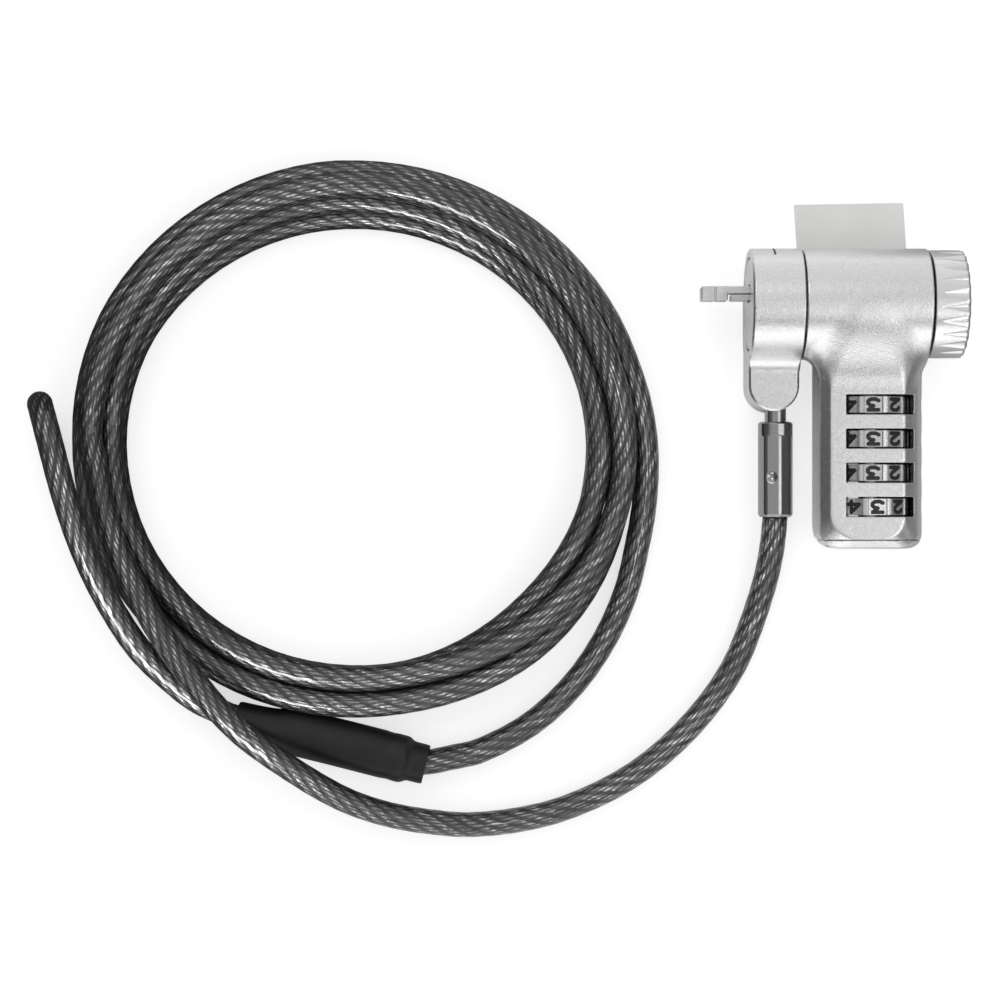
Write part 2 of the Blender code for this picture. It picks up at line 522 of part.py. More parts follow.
# --- the dials -----------------------------------------------------------------------------------------------------
for i, y in enumerate(DIAL_Y, 1):
    w = DIAL_W / 2
    at = (DIAL_X, y, DIAL_Z)
    turn = pivot_empty(f"dial_{i}_turn_axis", *at)
    hang(turn, head_pivot)
    wheel = []
    for s, r, outer_ring in ((y - w, 4.7, 0), (y - w, DIAL_R, 1), (y + w, DIAL_R, 1), (y + w, 4.7, 0)):
        loop = []
        for k in range(30):
            a = 2 * math.pi * k / 30
            rr = r - (0.22 if outer_ring and k % 3 == 0 else 0)
            loop.append((DIAL_X + rr * math.cos(a), s, DIAL_Z + rr * math.sin(a)))
        wheel.append(loop)
    dial = solid(f"dial_{i}", *rings(wheel, closed=True), "dial_metal", pivot=at)
    hub = solid(f"dial_hub_{i}", *turned("Y", (DIAL_X, DIAL_Z), [
        (y - w, SPINDLE_R + GAP), (y - w, 4.4), (y + w, 4.4), (y + w, SPINDLE_R + GAP)], 24, True), "brass", pivot=at)
    hang(dial, turn)
    hang(hub, turn)
reset_at = (DIAL_X, CAP_Y0, DIAL_Z)
reset = solid("reset_screw", *turned("Y", (DIAL_X, DIAL_Z), [
    (-9.4, 1.4), (-9.2, 1.65), (-5.6, 1.65), (-5.35, 1.4)], 24), "brass", pivot=reset_at)
cut(reset, box(DIAL_X - 0.3, DIAL_X + 0.3, -10, -8.6, DIAL_Z - 2, DIAL_Z + 2))
hang(reset, head_pivot)
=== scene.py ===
"""Looks for the laptop cable lock: its cable, sleeve, ferrule, cast head, knob and number dials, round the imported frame.

Shapes are worked out in millimetres on the same layout as the part's own source, and mm() turns them into metres in
the part's frame.
"""

import json
import math

import bpy
import numpy as np
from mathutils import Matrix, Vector


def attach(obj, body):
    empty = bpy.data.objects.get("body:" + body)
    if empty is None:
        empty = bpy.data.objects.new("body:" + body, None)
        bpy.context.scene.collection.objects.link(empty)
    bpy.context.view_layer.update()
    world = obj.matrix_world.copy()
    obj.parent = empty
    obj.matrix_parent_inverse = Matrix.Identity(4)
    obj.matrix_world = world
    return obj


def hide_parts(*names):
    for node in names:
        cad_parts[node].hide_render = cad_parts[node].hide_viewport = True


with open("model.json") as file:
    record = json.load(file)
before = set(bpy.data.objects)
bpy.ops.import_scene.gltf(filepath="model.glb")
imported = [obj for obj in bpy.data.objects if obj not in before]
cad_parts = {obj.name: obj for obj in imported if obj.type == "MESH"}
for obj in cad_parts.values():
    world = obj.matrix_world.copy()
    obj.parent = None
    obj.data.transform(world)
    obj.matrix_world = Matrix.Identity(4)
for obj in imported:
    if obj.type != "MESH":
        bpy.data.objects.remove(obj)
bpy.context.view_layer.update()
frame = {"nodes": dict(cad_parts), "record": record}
NODES = frame["nodes"]
SCENE = bpy.context.scene
HEAD_X, HEAD_Y = 64.7, 24.9


def mm(points):
    """Layout millimetres to metres in the part's frame."""
    p = np.asarray(points, dtype=float).reshape(-1, 3)
    return np.stack([(p[:, 0] - HEAD_X) * 0.001, (p[:, 1] - HEAD_Y) * 0.001, p[:, 2] * 0.001], 1)


# =====================================================================================================================
# camera
# =====================================================================================================================
cam_data = bpy.data.cameras.new("camera")
cam = bpy.data.objects.new("camera", cam_data)
SCENE.collection.objects.link(cam)
cam_data.sensor_width = 36
cam_data.lens = 90
cam_data.clip_start, cam_data.clip_end = 0.02, 20
cam.location = (-HEAD_X * 0.001, -HEAD_Y * 0.001, 0.5)
cam.rotation_euler = (0, 0, 0)
SCENE.camera = cam
SCENE.view_settings.view_transform = "Standard"
SCENE.view_settings.look = "None"


# =====================================================================================================================
# mesh helpers
# =====================================================================================================================
def make_mesh(name, verts, faces, materials, normals=None, uv=None, face_mat=None, smooth=True, in_mm=True):
    """A mesh from arrays: faces is an (n, 3) or (n, 4) array, or a list of both."""
    v = mm(verts) if in_mm else np.asarray(verts, float)
    groups = faces if isinstance(faces, list) else [faces]
    groups = [np.asarray(g, dtype=np.int32) for g in groups if len(g)]
    me = bpy.data.meshes.new(name)
    me.vertices.add(len(v))
    me.vertices.foreach_set("co", v.astype(np.float32).ravel())
    loops = np.concatenate([g.ravel() for g in groups])
    sizes = np.concatenate([np.full(len(g), g.shape[1], np.int32) for g in groups])
    starts = np.concatenate([[0], np.cumsum(sizes)[:-1]]).astype(np.int32)
    me.loops.add(len(loops))
    me.loops.foreach_set("vertex_index", loops)
    me.polygons.add(len(sizes))
    me.polygons.foreach_set("loop_start", starts)
    me.polygons.foreach_set("loop_total", sizes)
    if face_mat is not None:
        me.polygons.foreach_set("material_index", np.asarray(face_mat, np.int32))
    me.update(calc_edges=True)
    me.validate(verbose=False)
    me.polygons.foreach_set("use_smooth", np.full(len(me.polygons), smooth, bool))
    if uv is not None:
        layer = me.uv_layers.new(name="UVMap")
        layer.data.foreach_set("uv", np.asarray(uv, np.float32)[loops].ravel())
    if normals is not None:
        me.normals_split_custom_set_from_vertices([tuple(n) for n in normals])
    for m in materials if isinstance(materials, (list, tuple)) else [materials]:
        me.materials.append(m)
    ob = bpy.data.objects.new(name, me)
    SCENE.collection.objects.link(ob)
    return ob


def grid_faces(rows, cols, wrap_cols=True, wrap_rows=False):
    """Quads over a rows x cols lattice of points."""
    i = np.arange(rows if wrap_rows else rows - 1)
    j = np.arange(cols if wrap_cols else cols - 1)
    a, b = np.meshgrid(i, j, indexing="ij")
    a2, b2 = (a + 1) % rows, (b + 1) % cols
    return np.stack([a * cols + b, a * cols + b2, a2 * cols + b2, a2 * cols + b], -1).reshape(-1, 4)


def surface(f, low, high, h, relax=5, eps=None):
    """A closed mesh of f = 0 (f below 0 inside): a net over a grid of cubes of side h, pulled onto the surface.
    Returns vertices, quads and outward normals."""
    low, high = np.array(low, float), np.array(high, float)
    n = np.ceil((high - low) / h).astype(int) + 1
    ax = [low[a] + h * np.arange(n[a]) for a in range(3)]
    F = np.empty(n, np.float32)
    for i in range(n[0]):  # one slice at a time keeps the memory small
        y, z = np.meshgrid(ax[1], ax[2], indexing="ij")
        F[i] = f(np.full_like(y, ax[0][i]), y, z)
    F[np.abs(F) < 1e-6] = 1e-6
    cells = tuple(n - 1)
    total = np.zeros(cells + (3,), np.float32)
    count = np.zeros(cells, np.float32)
    crossings = []
    for a in range(3):
        lo = [slice(None)] * 3
        hi = [slice(None)] * 3
        lo[a], hi[a] = slice(0, -1), slice(1, None)
        f0, f1 = F[tuple(lo)], F[tuple(hi)]
        idx = np.argwhere((f0 < 0) != (f1 < 0))
        v0, v1 = f0[tuple(idx.T)], f1[tuple(idx.T)]
        t = v0 / (v0 - v1)
        at = idx.astype(np.float32)
        at[:, a] += t
        b, c = [q for q in range(3) if q != a]
        keep = (idx[:, b] > 0) & (idx[:, c] > 0) & (idx[:, b] < n[b] - 1) & (idx[:, c] < n[c] - 1)
        idx, at, v0 = idx[keep], at[keep], v0[keep]
        for db in (0, 1):
            for dc in (0, 1):
                cell = idx.copy()
                cell[:, b] -= db
                cell[:, c] -= dc
                np.add.at(total, tuple(cell.T), at)
                np.add.at(count, tuple(cell.T), 1)
        crossings.append((a, b, c, idx, v0 < 0))
    ids = np.full(cells, -1, np.int64)
    used = count > 0
    ids[used] = np.arange(int(used.sum()))
    verts = low + h * (total[used] / count[used][:, None])
    quads = []
    for a, b, c, idx, inside in crossings:
        def cell_id(db, dc):
            cell = idx.copy()
            cell[:, b] -= db
            cell[:, c] -= dc
            return ids[tuple(cell.T)]
        q = np.stack([cell_id(1, 1), cell_id(0, 1), cell_id(0, 0), cell_id(1, 0)], 1)
        flip = inside if (b + 1) % 3 == c else ~inside
        q[~flip] = q[~flip][:, ::-1]
        quads.append(q)
    quads = np.concatenate(quads)
    e = eps or h * 0.12

    def slope(v):
        g = np.stack([(f(v[:, 0] + e * (k == 0), v[:, 1] + e * (k == 1), v[:, 2] + e * (k == 2))
                       - f(v[:, 0] - e * (k == 0), v[:, 1] - e * (k == 1), v[:, 2] - e * (k == 2))) / (2 * e)
                      for k in range(3)], 1)
        return g

    for _ in range(relax):
        g = slope(verts)
        d = f(verts[:, 0], verts[:, 1], verts[:, 2])
        step = -d[:, None] * g / np.maximum((g * g).sum(1), 0.25)[:, None]
        size = np.linalg.norm(step, axis=1)
        step *= np.minimum(1, 0.4 * h / np.maximum(size, 1e-9))[:, None]
        verts = verts + step
    g = slope(verts)
    normals = g / np.maximum(np.linalg.norm(g, axis=1), 1e-9)[:, None]
    return verts, quads, normals


def rmax(a, b, r):
    """Both a and b, with a rounded edge of radius r between them."""
    return (np.minimum(np.maximum(a + r, b + r), 0) + np.hypot(np.maximum(a + r, 0), np.maximum(b + r, 0)) - r)


def rmin(a, b, r):
    """Either a or b, with a fillet of radius r between them."""
    return -rmax(-a, -b, r)


def cmax(a, b, c):
    """Both a and b, with a chamfer c wide between them."""
    return np.maximum(np.maximum(a, b), (a + b + c) * 0.70711)


def plane2(p, q, u, v):
    """Distance above the line p to q in the (u, v) plane, positive to its left."""
    dx, dy = q[0] - p[0], q[1] - p[1]
    d = math.hypot(dx, dy)
    return (-(u - p[0]) * dy + (v - p[1]) * dx) / d


def slab(u, low, high):
    return np.abs(u - (low + high) / 2) - (high - low) / 2


def block(x, y, z, x0, x1, y0, y1, z0, z1, r=0.0):
    q = [slab(x, x0, x1) + r, slab(y, y0, y1) + r, slab(z, z0, z1) + r]
    out = np.sqrt(np.maximum(q[0], 0) ** 2 + np.maximum(q[1], 0) ** 2 + np.maximum(q[2], 0) ** 2)
    return out + np.minimum(np.maximum(q[0], np.maximum(q[1], q[2])), 0) - r


# =====================================================================================================================
# materials
# =====================================================================================================================
class Nodes:
    """A short way to write a node tree."""

    def __init__(self, name):
        self.mat = bpy.data.materials.new(name)
        self.mat.use_nodes = True
        self.tree = self.mat.node_tree
        self.bsdf = self.tree.nodes["Principled BSDF"]

    def node(self, kind, **values):
        n = self.tree.nodes.new(kind)
        for k, v in values.items():
            setattr(n, k, v)
        return n

    def link(self, a, b):
        self.tree.links.new(a, b)

    def put(self, socket, value):
        if isinstance(value, bpy.types.NodeSocket):
            self.link(value, socket)
        else:
            socket.default_value = value

    def math(self, op, a, b=0.0, c=None, clamp=False):
        n = self.node("ShaderNodeMath", operation=op, use_clamp=clamp)
        self.put(n.inputs[0], a)
        self.put(n.inputs[1], b)
        if c is not None:
            self.put(n.inputs[2], c)
        return n.outputs[0]

    def ramp(self, value, stops, interpolation="LINEAR"):
        n = self.node("ShaderNodeValToRGB")
        n.color_ramp.interpolation = interpolation
        el = n.color_ramp.elements
        while len(el) < len(stops):
            el.new(0.5)
        for e, (p, c) in zip(el, stops):
            e.position = p
            e.color = (c, c, c, 1) if isinstance(c, (int, float)) else (*c, 1)
        self.link(value, n.inputs[0])
        return n.outputs[0]

    def noise(self, scale, detail=2.0, rough=0.5, vector=None, kind="ShaderNodeTexNoise", distortion=0.0):
        n = self.node(kind)
        n.inputs["Scale"].default_value = scale
        n.inputs["Detail"].default_value = detail
        n.inputs["Roughness"].default_value = rough
        n.inputs["Distortion"].default_value = distortion
        self.link(vector if vector is not None else self.place(), n.inputs["Vector"])
        return n.outputs[0]

    def place(self):
        if not hasattr(self, "_place"):
            self._place = self.node("ShaderNodeTexCoord").outputs["Object"]
        return self._place

    def mix(self, factor, a, b):
        n = self.node("ShaderNodeMix", data_type="RGBA")
        self.put(n.inputs[0], factor)
        self.put(n.inputs[6], a if isinstance(a, bpy.types.NodeSocket) else (*a, 1))
        self.put(n.inputs[7], b if isinstance(b, bpy.types.NodeSocket) else (*b, 1))
        return n.outputs[2]

    def bump(self, height, strength, distance, normal=None):
        n = self.node("ShaderNodeBump")
        n.inputs["Strength"].default_value = strength
        n.inputs["Distance"].default_value = distance
        self.link(height, n.inputs["Height"])
        if normal is not None:
            self.link(normal, n.inputs["Normal"])
        return n.outputs["Normal"]

    def set(self, **values):
        names = {"colour": "Base Color", "rough": "Roughness", "metal": "Metallic", "normal": "Normal",
                 "coat": "Coat Weight", "coat_rough": "Coat Roughness", "coat_normal": "Coat Normal",
                 "aniso": "Anisotropic", "spec": "Specular IOR Level", "ior": "IOR", "coat_ior": "Coat IOR"}
        for k, v in values.items():
            if isinstance(v, tuple) and len(v) == 3:
                v = (*v, 1)
            self.put(self.bsdf.inputs[names[k]], v)
        return self.mat


def satin_metal(name, tone, rough, grain=1.0, speckle=0.05, blotch=0.05, tint=(1, 1, 1)):
    """Plated die casting: fine grain, faint blotches and pin-prick speckle."""
    m = Nodes(name)
    fine = m.noise(5200, 2, 0.6)
    mid = m.noise(900, 3, 0.6)
    wide = m.noise(120, 3, 0.55)
    lo = tuple(tone * (1 - speckle * 2) * t for t in tint)
    hi = tuple(min(tone * (1 + speckle), 1) * t for t in tint)
    grains = m.ramp(fine, [(0.36, 0.0), (0.52, 1.0)])
    blot = m.ramp(wide, [(0.35, 1 - blotch), (0.65, 1.0)])
    base = m.mix(grains, lo, hi)
    colour = m.mix(blot, tuple(c * 0.9 for c in lo), base)
    r = m.math("ADD", m.math("MULTIPLY", mid, 0.14), rough - 0.07)
    n1 = m.bump(fine, 0.6 * grain, 0.00006)
    n2 = m.bump(mid, 0.3 * grain, 0.00012, n1)
    return m.set(colour=colour, rough=r, metal=1.0, normal=n2)


def machined_metal(name, tone, rough, tint=(1, 1, 1), scratch=0.5):
    """Turned or drawn steel or brass: faint fine streaks and stains."""
    m = Nodes(name)
    mapping = m.node("ShaderNodeMapping")
    mapping.inputs["Scale"].default_value = (60, 1400, 1400)
    m.link(m.place(), mapping.inputs[0])
    streak = m.noise(1.0, 3, 0.6, vector=mapping.outputs[0])
    stain = m.noise(260, 4, 0.6)
    lo = tuple(tone * 0.8 * t for t in tint)
    hi = tuple(min(tone * 1.06, 1) * t for t in tint)
    colour = m.mix(m.ramp(stain, [(0.3, 0.0), (0.6, 1.0)]), lo, hi)
    r = m.math("ADD", m.math("MULTIPLY", streak, 0.16), rough - 0.08)
    return m.set(colour=colour, rough=r, metal=1.0, normal=m.bump(streak, 0.25 * scratch, 0.00003))


def rope_material():
    """Twisted steel wire rope seen through a smoky clear jacket; its base colour carries painted shade on the strands
    and painted glints on the wires. U runs along the cable in centimetres, V round it.
    """
    m = Nodes("smoky_cable")
    uv = m.node("ShaderNodeUVMap")
    uv.uv_map = "UVMap"
    split = m.node("ShaderNodeSeparateXYZ")
    m.link(uv.outputs[0], split.inputs[0])
    s, v = split.outputs[0], split.outputs[1]
    # eight strands round the cable on a 32 mm lay, with valleys between them that the colour paints dark as shade
    turn = m.math("ADD", m.math("MULTIPLY", v, 8.0), m.math("MULTIPLY", s, 8.0 / 3.2))
    crest = m.math("SINE", m.math("MULTIPLY", m.math("FRACT", turn), math.pi))
    around = m.math("MULTIPLY", turn, 2 * math.pi / 8.0)

    def drawn(along, across, seed, detail):
        """Noise drawn out along the strands, with no seam round the cable."""
        c = m.node("ShaderNodeCombineXYZ")
        m.link(m.math("ADD", m.math("MULTIPLY", s, along), seed), c.inputs[0])
        m.link(m.math("MULTIPLY", m.math("COSINE", around), across), c.inputs[1])
        m.link(m.math("MULTIPLY", m.math("SINE", around), across), c.inputs[2])
        return m.noise(1.0, detail, 0.6, vector=c.outputs[0])

    wide = drawn(0.8, 0.6, 3.0, 2)
    ragged = drawn(3.2, 2.2, 31.0, 2)
    pick = drawn(6.0, 3.4, 57.0, 1)
    # the wires lie across each strand's run, so a crest shows them as a row of short strokes, painted into the colour
    # as wire highlights
    wire = m.math("ADD", m.math("SUBTRACT", m.math("MULTIPLY", turn, 3.0), m.math("MULTIPLY", s, 1 / 0.125)),
                  m.math("MULTIPLY", ragged, 0.8))
    wire = m.math("SINE", m.math("MULTIPLY", m.math("FRACT", wire), math.pi))
    # painted shade: the crests are painted lighter and the valleys darker, as light falls on round strands
    crown = m.ramp(crest, [(0.12, 0.0), (0.55, 0.55), (0.92, 1.0)])
    painted_wire_glint = m.math("MULTIPLY", m.ramp(wire, [(0.45, 0.0), (0.92, 1.0)]), m.ramp(crest, [(0.5, 0.0), (0.93, 1.0)]))
    # painted highlight: noise picks where the wire strokes are painted bright, and a few of them brighter still as
    # glints
    painted_glint_patch = m.ramp(wide, [(0.36, 0.35), (0.62, 1.0)])
    painted_glint = m.math("MULTIPLY", m.math("MULTIPLY", painted_wire_glint, m.ramp(pick, [(0.50, 0.0), (0.66, 1.0)])), painted_glint_patch)
    painted_light_and_shade = m.math("ADD", m.math("MULTIPLY", crown, 0.034), m.math("MULTIPLY", m.math("MULTIPLY", painted_wire_glint, painted_glint_patch), 0.17))
    painted_light_and_shade = m.math("ADD", painted_light_and_shade, m.math("MULTIPLY", painted_glint, 0.42), clamp=True)
    # the pale end of this mix is the colour of the painted glints
    colour = m.mix(painted_light_and_shade, (0.010, 0.0105, 0.0105), (0.97, 0.97, 0.95))
    height = m.math("ADD", crown, m.math("MULTIPLY", wire, 0.35))
    normal = m.bump(height, 0.6, 0.0002)
    rough = m.ramp(wide, [(0.3, 0.32), (0.7, 0.44)])
    return m.set(colour=colour, rough=rough, metal=m.ramp(crown, [(0.0, 0.2), (1.0, 0.9)]), normal=normal, coat=0.7,
                 coat_rough=0.06, coat_ior=1.5)


def shrink_material():
    """Matte black heat-shrink sleeve, faintly drawn along its length."""
    m = Nodes("black_sleeve")
    wide = m.noise(140, 3, 0.6)
    fine = m.noise(2600, 2, 0.5)
    colour = m.mix(m.ramp(wide, [(0.3, 0.0), (0.7, 1.0)]), (0.006, 0.006, 0.0065), (0.012, 0.012, 0.013))
    rough = m.math("ADD", m.math("MULTIPLY", wide, 0.2), 0.40)
    normal = m.bump(wide, 0.3, 0.0004, m.bump(fine, 0.15, 0.00004))
    return m.set(colour=colour, rough=rough, normal=normal, spec=0.36)


def film_material():
    """Light grey plastic film with a faint grain."""
    m = Nodes("grey_film")
    wide = m.noise(90, 3, 0.5)
    fine = m.noise(3000, 2, 0.5)
    colour = m.mix(m.ramp(wide, [(0.3, 0.0), (0.7, 1.0)]), (0.83, 0.83, 0.82), (0.88, 0.88, 0.87))
    rough = m.math("ADD", m.math("MULTIPLY", fine, 0.15), 0.5)
    return m.set(colour=colour, rough=rough, normal=m.bump(fine, 0.12, 0.00004))


def ink_material():
    m = Nodes("black_ink")
    fine = m.noise(4000, 2, 0.5)
    colour = m.mix(fine, (0.006, 0.006, 0.006), (0.016, 0.016, 0.016))
    return m.set(colour=colour, rough=m.math("ADD", m.math("MULTIPLY", fine, 0.2), 0.4))


ZINC = satin_metal("satin_zinc", 0.74, 0.25)
KNOB = satin_metal("knob_metal", 0.78, 0.22, grain=0.6, speckle=0.03)
DIAL = satin_metal("dial_metal", 0.62, 0.26, grain=0.5, speckle=0.03)
DARK = satin_metal("dark_chrome", 0.36, 0.14, grain=0.25, speckle=0.02, blotch=0.03)
STEEL = machined_metal("steel", 0.62, 0.30)
HOOK = machined_metal("hook_steel", 0.66, 0.34)
BRASS = machined_metal("brass", 0.9, 0.34, tint=(0.82, 0.63, 0.32))
ROPE = rope_material()
SHRINK = shrink_material()
FILM = film_material()
INK = ink_material()
SLOT_OF = {s["node"]: s["material_slot"] for s in frame["record"]["subparts"]}
BY_SLOT = {"satin_zinc": ZINC, "knob_metal": KNOB, "dark_chrome": DARK, "steel": STEEL, "dial_metal": DIAL,
           "brass": BRASS, "cable_jacket": ROPE, "black_shrink": SHRINK, "grey_label": FILM}
for name, ob in NODES.items():
    for k in range(max(1, len(ob.material_slots))):
        if not ob.material_slots:
            ob.data.materials.append(BY_SLOT[SLOT_OF[name]])
        ob.material_slots[k].material = BY_SLOT[SLOT_OF[name]]


def soften(name, width, segments=2):
    """Worn, rounded edges on a node that keeps its shape."""
    ob = NODES[name]
    w = ob.modifiers.new("weld", "WELD")
    w.merge_threshold = 0.000002
    b = ob.modifiers.new("edges", "BEVEL")
    b.width, b.segments, b.limit_method, b.angle_limit = width, segments, "ANGLE", math.radians(35)
    b.harden_normals = False
    return ob


# =====================================================================================================================
# the cable
# =====================================================================================================================
CABLE_D = 5.0
COIL_X, COIL_Y, COIL_RX, COIL_RY = -28.9, 10.3, 48.45, 46.1
SLEEVE_END, SLEEVE_MOUTH = (-14.66, -52.47, 4.75), (-52.3, -43.0, 5.6)
EYE_R = 9.6
LEAN = 0.00202
SQUARE = 3.57
INNER_LOW, OUTER_LOW, INNER_UP, OUTER_UP = (0.0, 2.52), (5.03, 2.52), (0.0, 7.57), (5.03, 7.57)
TOP = {1: (5.3, 11.4), 2: (2.6, 7.0), 3: (0.0, 2.52), 4: (5.1, 2.52), 5: (8.1, 6.75)}
TO_RIGHT = {
    1: [(0, *TOP[1]), (50, 4.75, 10.65), (70, 4.6, 10.2), (80, 4.8, 9.2), (92, *OUTER_UP)],
    2: [(0, *TOP[2]), (50, 1.0, 7.35), (70, 0.3, 7.55), (92, *INNER_UP)],
    3: [(0, *TOP[3]), (92, *INNER_LOW)],
    4: [(0, *TOP[4]), (92, *OUTER_LOW)],
    5: [(0, *TOP[5]), (70, 8.15, 6.7), (80, 8.65, 6.0), (90, 9.35, 5.0), (100, 10.1, 3.8), (110, 11.2, 2.9)],
}
PULLED_IN = [(140, 0.0), (185, -0.5), (205, -0.62), (235, -0.8), (262, -0.75), (300, 0.0)]
LEAD = [
    (54.38, -2.95, 6.0), (54.3, -4.05, 5.95), (53.9, -8.9, 5.2), (52.5, -16.7, 3.6), (50.3, -23.7, 2.7), (47.7, -30.7, 2.52),
    (44.0, -37.2, 2.52), (39.4, -43.2, 2.52), (34.2, -48.6, 2.52), (28.5, -53.3, 2.52), (22.2, -57.2, 2.52),
    (15.5, -60.3, 2.52), (8.6, -62.6, 2.6), (1.4, -63.9, 2.8), (-5.8, -64.5, 3.4), (-12.8, -63.9, 4.4),
    (-19.6, -62.7, 5.8), (-26.0, -60.8, 7.4), (-32.0, -58.1, 9.4), (-37.6, -54.6, 11.3), (-44.4, -49.9, 13.2),
    (-50.8, -44.8, 14.2), (-56.4, -38.9, 14.3), (-63.7, -29.6, 13.7), (-67.8, -23.2, 13.2), (-71.3, -17.0, 12.8),
    (-75.5, -7.8, 12.5), (-77.8, 0.0, 12.3), (-79.0, 6.5, 12.2),
]
TAIL = [
    (25.2, -17.8, 2.52), (20.9, -27.6, 2.52), (14.6, -36.7, 2.52), (6.3, -44.4, 2.52), (-3.8, -49.8, 2.6),
    (-9.9, -51.2, 3.2), (-14.2, -52.0, 4.0),
]
EYE_PLAN = [
    (-53.3, -42.7), (-60.0, -39.6), (-65.6, -35.2), (-70.6, -30.4), (-74.5, -25.1), (-79.3, -16.8),
    (-83.2, -7.9), (-86.3, 1.3), (-89.1, 11.8), (-91.0, 19.0),
]


def ease(table, t):
    if t <= table[0][0]:
        return table[0][1:]
    if t >= table[-1][0]:
        return table[-1][1:]
    i = max(k for k in range(len(table) - 1) if table[k][0] <= t)
    p = [table[min(max(i + k, 0), len(table) - 1)] for k in (-1, 0, 1, 2)]
    step = p[2][0] - p[1][0]
    s, out = (t - p[1][0]) / step, []
    for c in range(1, len(p[1])):
        m1 = (p[2][c] - p[0][c]) / (p[2][0] - p[0][0]) * step
        m2 = (p[3][c] - p[1][c]) / (p[3][0] - p[1][0]) * step
        out.append((2 * s**3 - 3 * s**2 + 1) * p[1][c] + (s**3 - 2 * s**2 + s) * m1
                   + (3 * s**2 - 2 * s**3) * p[2][c] + (s**3 - s**2) * m2)
    return out


def through(stops, step, sub=16):
    """Points every step along one smooth curve through the stops."""
    p = np.asarray(stops, float)
    fine = []
    for i in range(len(p) - 1):
        p0, p1, p2, p3 = (p[min(max(i + k, 0), len(p) - 1)] for k in (-1, 0, 1, 2))
        d1 = max(np.linalg.norm(p2 - p1), 1e-9)
        d0, d2 = max(np.linalg.norm(p1 - p0), d1 / 2), max(np.linalg.norm(p3 - p2), d1 / 2)
        m1 = (p2 - p1) if i == 0 else (p2 - p0) / (d0 + d1) * d1
        m2 = (p2 - p1) if i == len(p) - 2 else (p3 - p1) / (d1 + d2) * d1
        s = (np.arange(sub) / sub)[:, None]
        fine.append((2 * s**3 - 3 * s**2 + 1) * p1 + (s**3 - 2 * s**2 + s) * m1
                    + (3 * s**2 - 2 * s**3) * p2 + (s**3 - s**2) * m2)
    fine = np.concatenate(fine + [p[-1:]])
    walk = np.concatenate([[0], np.cumsum(np.linalg.norm(np.diff(fine, axis=0), axis=1))])
    q = np.linspace(0, walk[-1], max(2, round(walk[-1] / step)) + 1)
    return np.stack([np.interp(q, walk, fine[:, k]) for k in range(3)], 1)


def place_turn(turn, phi):
    if turn == 0:
        return ease([(270, 2.75, 12.15), (315, 4.0, 11.95), (360, *TOP[1])], phi)
    if phi <= 92 or turn == 5:
        return ease(TO_RIGHT[turn], phi)
    if phi <= 270:
        s = min(max((phi - 97) / 76, 0), 1)
        twist = math.radians(90 * s * s * (3 - 2 * s))
        corner = math.radians({1: 45, 2: 135, 3: 225, 4: 315}[turn]) + twist
        return (2.515 + SQUARE * math.cos(corner),
                5.045 + 1.06 * math.sin(2 * twist) + SQUARE * math.sin(corner))
    start = {1: INNER_UP, 2: INNER_LOW, 3: OUTER_LOW, 4: OUTER_UP}[turn]
    return ease([(262, *start), (272, *start), (350, *TOP[turn + 1]), (370, *TOP[turn + 1])], phi)


def on_coil(turn, phi):
    u, z = place_turn(turn, phi)
    if 1 <= turn <= 4:
        u += ease(PULLED_IN, phi)[0]
    a = math.radians(phi)
    return (COIL_X + (COIL_RX + u) * math.sin(a), COIL_Y + (COIL_RY + u) * math.cos(a), z)


def frames_along(path):
    """A sideways and an upward direction at each point, carried along without twist."""
    t = np.gradient(path, axis=0)
    t /= np.linalg.norm(t, axis=1)[:, None]
    side = np.cross(t[0], (0, 0, 1.0))
    side /= np.linalg.norm(side)
    out = [side]
    for i in range(1, len(path)):
        s = out[-1] - t[i] * (out[-1] @ t[i])
        out.append(s / np.linalg.norm(s))
    side = np.array(out)
    return side, np.cross(side, t)


def cable_piece(name, path, around=60, lobes=8, lay=32.0, depth=0.035, shift=0.0):
    """The jacketed rope along path, its skin faintly following the strands inside, with flat discs closing its ends."""
    side, up = frames_along(path)
    s = np.concatenate([[0], np.cumsum(np.linalg.norm(np.diff(path, axis=0), axis=1))]) + shift
    k = np.arange(around)
    a = 2 * np.pi * k / around
    r = CABLE_D / 2 - depth * (0.5 - 0.5 * np.cos(2 * np.pi * (lobes * k[None] / around + lobes * s[:, None] / lay) + np.pi))
    r = r * (1 + 0.004 * np.sin(s[:, None] * 0.31 + 2 * a[None]))
    ring = path[:, None] + r[..., None] * (np.cos(a)[None, :, None] * side[:, None] + np.sin(a)[None, :, None] * up[:, None])
    # the seam of the UV map is a doubled column
    ring = np.concatenate([ring, ring[:, :1]], 1)
    uv = np.stack(np.broadcast_arrays(s[:, None] * 0.1, np.arange(around + 1)[None] / around), -1).reshape(-1, 2)
    faces = grid_faces(len(path), around + 1, wrap_cols=False)
    verts = ring.reshape(-1, 3)
    centre = np.concatenate([verts, path[:1], path[-1:]])
    uv = np.concatenate([uv, [[s[0] * 0.1, 0.5], [s[-1] * 0.1, 0.5]]])
    n, c = len(verts), around + 1
    first = np.array([[n, j, j + 1] for j in range(around)])
    last = np.array([[n + 1, (len(path) - 1) * c + j + 1, (len(path) - 1) * c + j] for j in range(around)])
    ob = make_mesh(name, centre, [faces[:, ::-1], first[:, ::-1], last[:, ::-1]], ROPE, uv=uv)
    # weld the seam column and fix the facing
    import bmesh
    bm = bmesh.new()
    bm.from_mesh(ob.data)
    bmesh.ops.remove_doubles(bm, verts=bm.verts, dist=1e-7)
    bmesh.ops.recalc_face_normals(bm, faces=bm.faces)
    bm.to_mesh(ob.data)
    bm.free()
    return ob


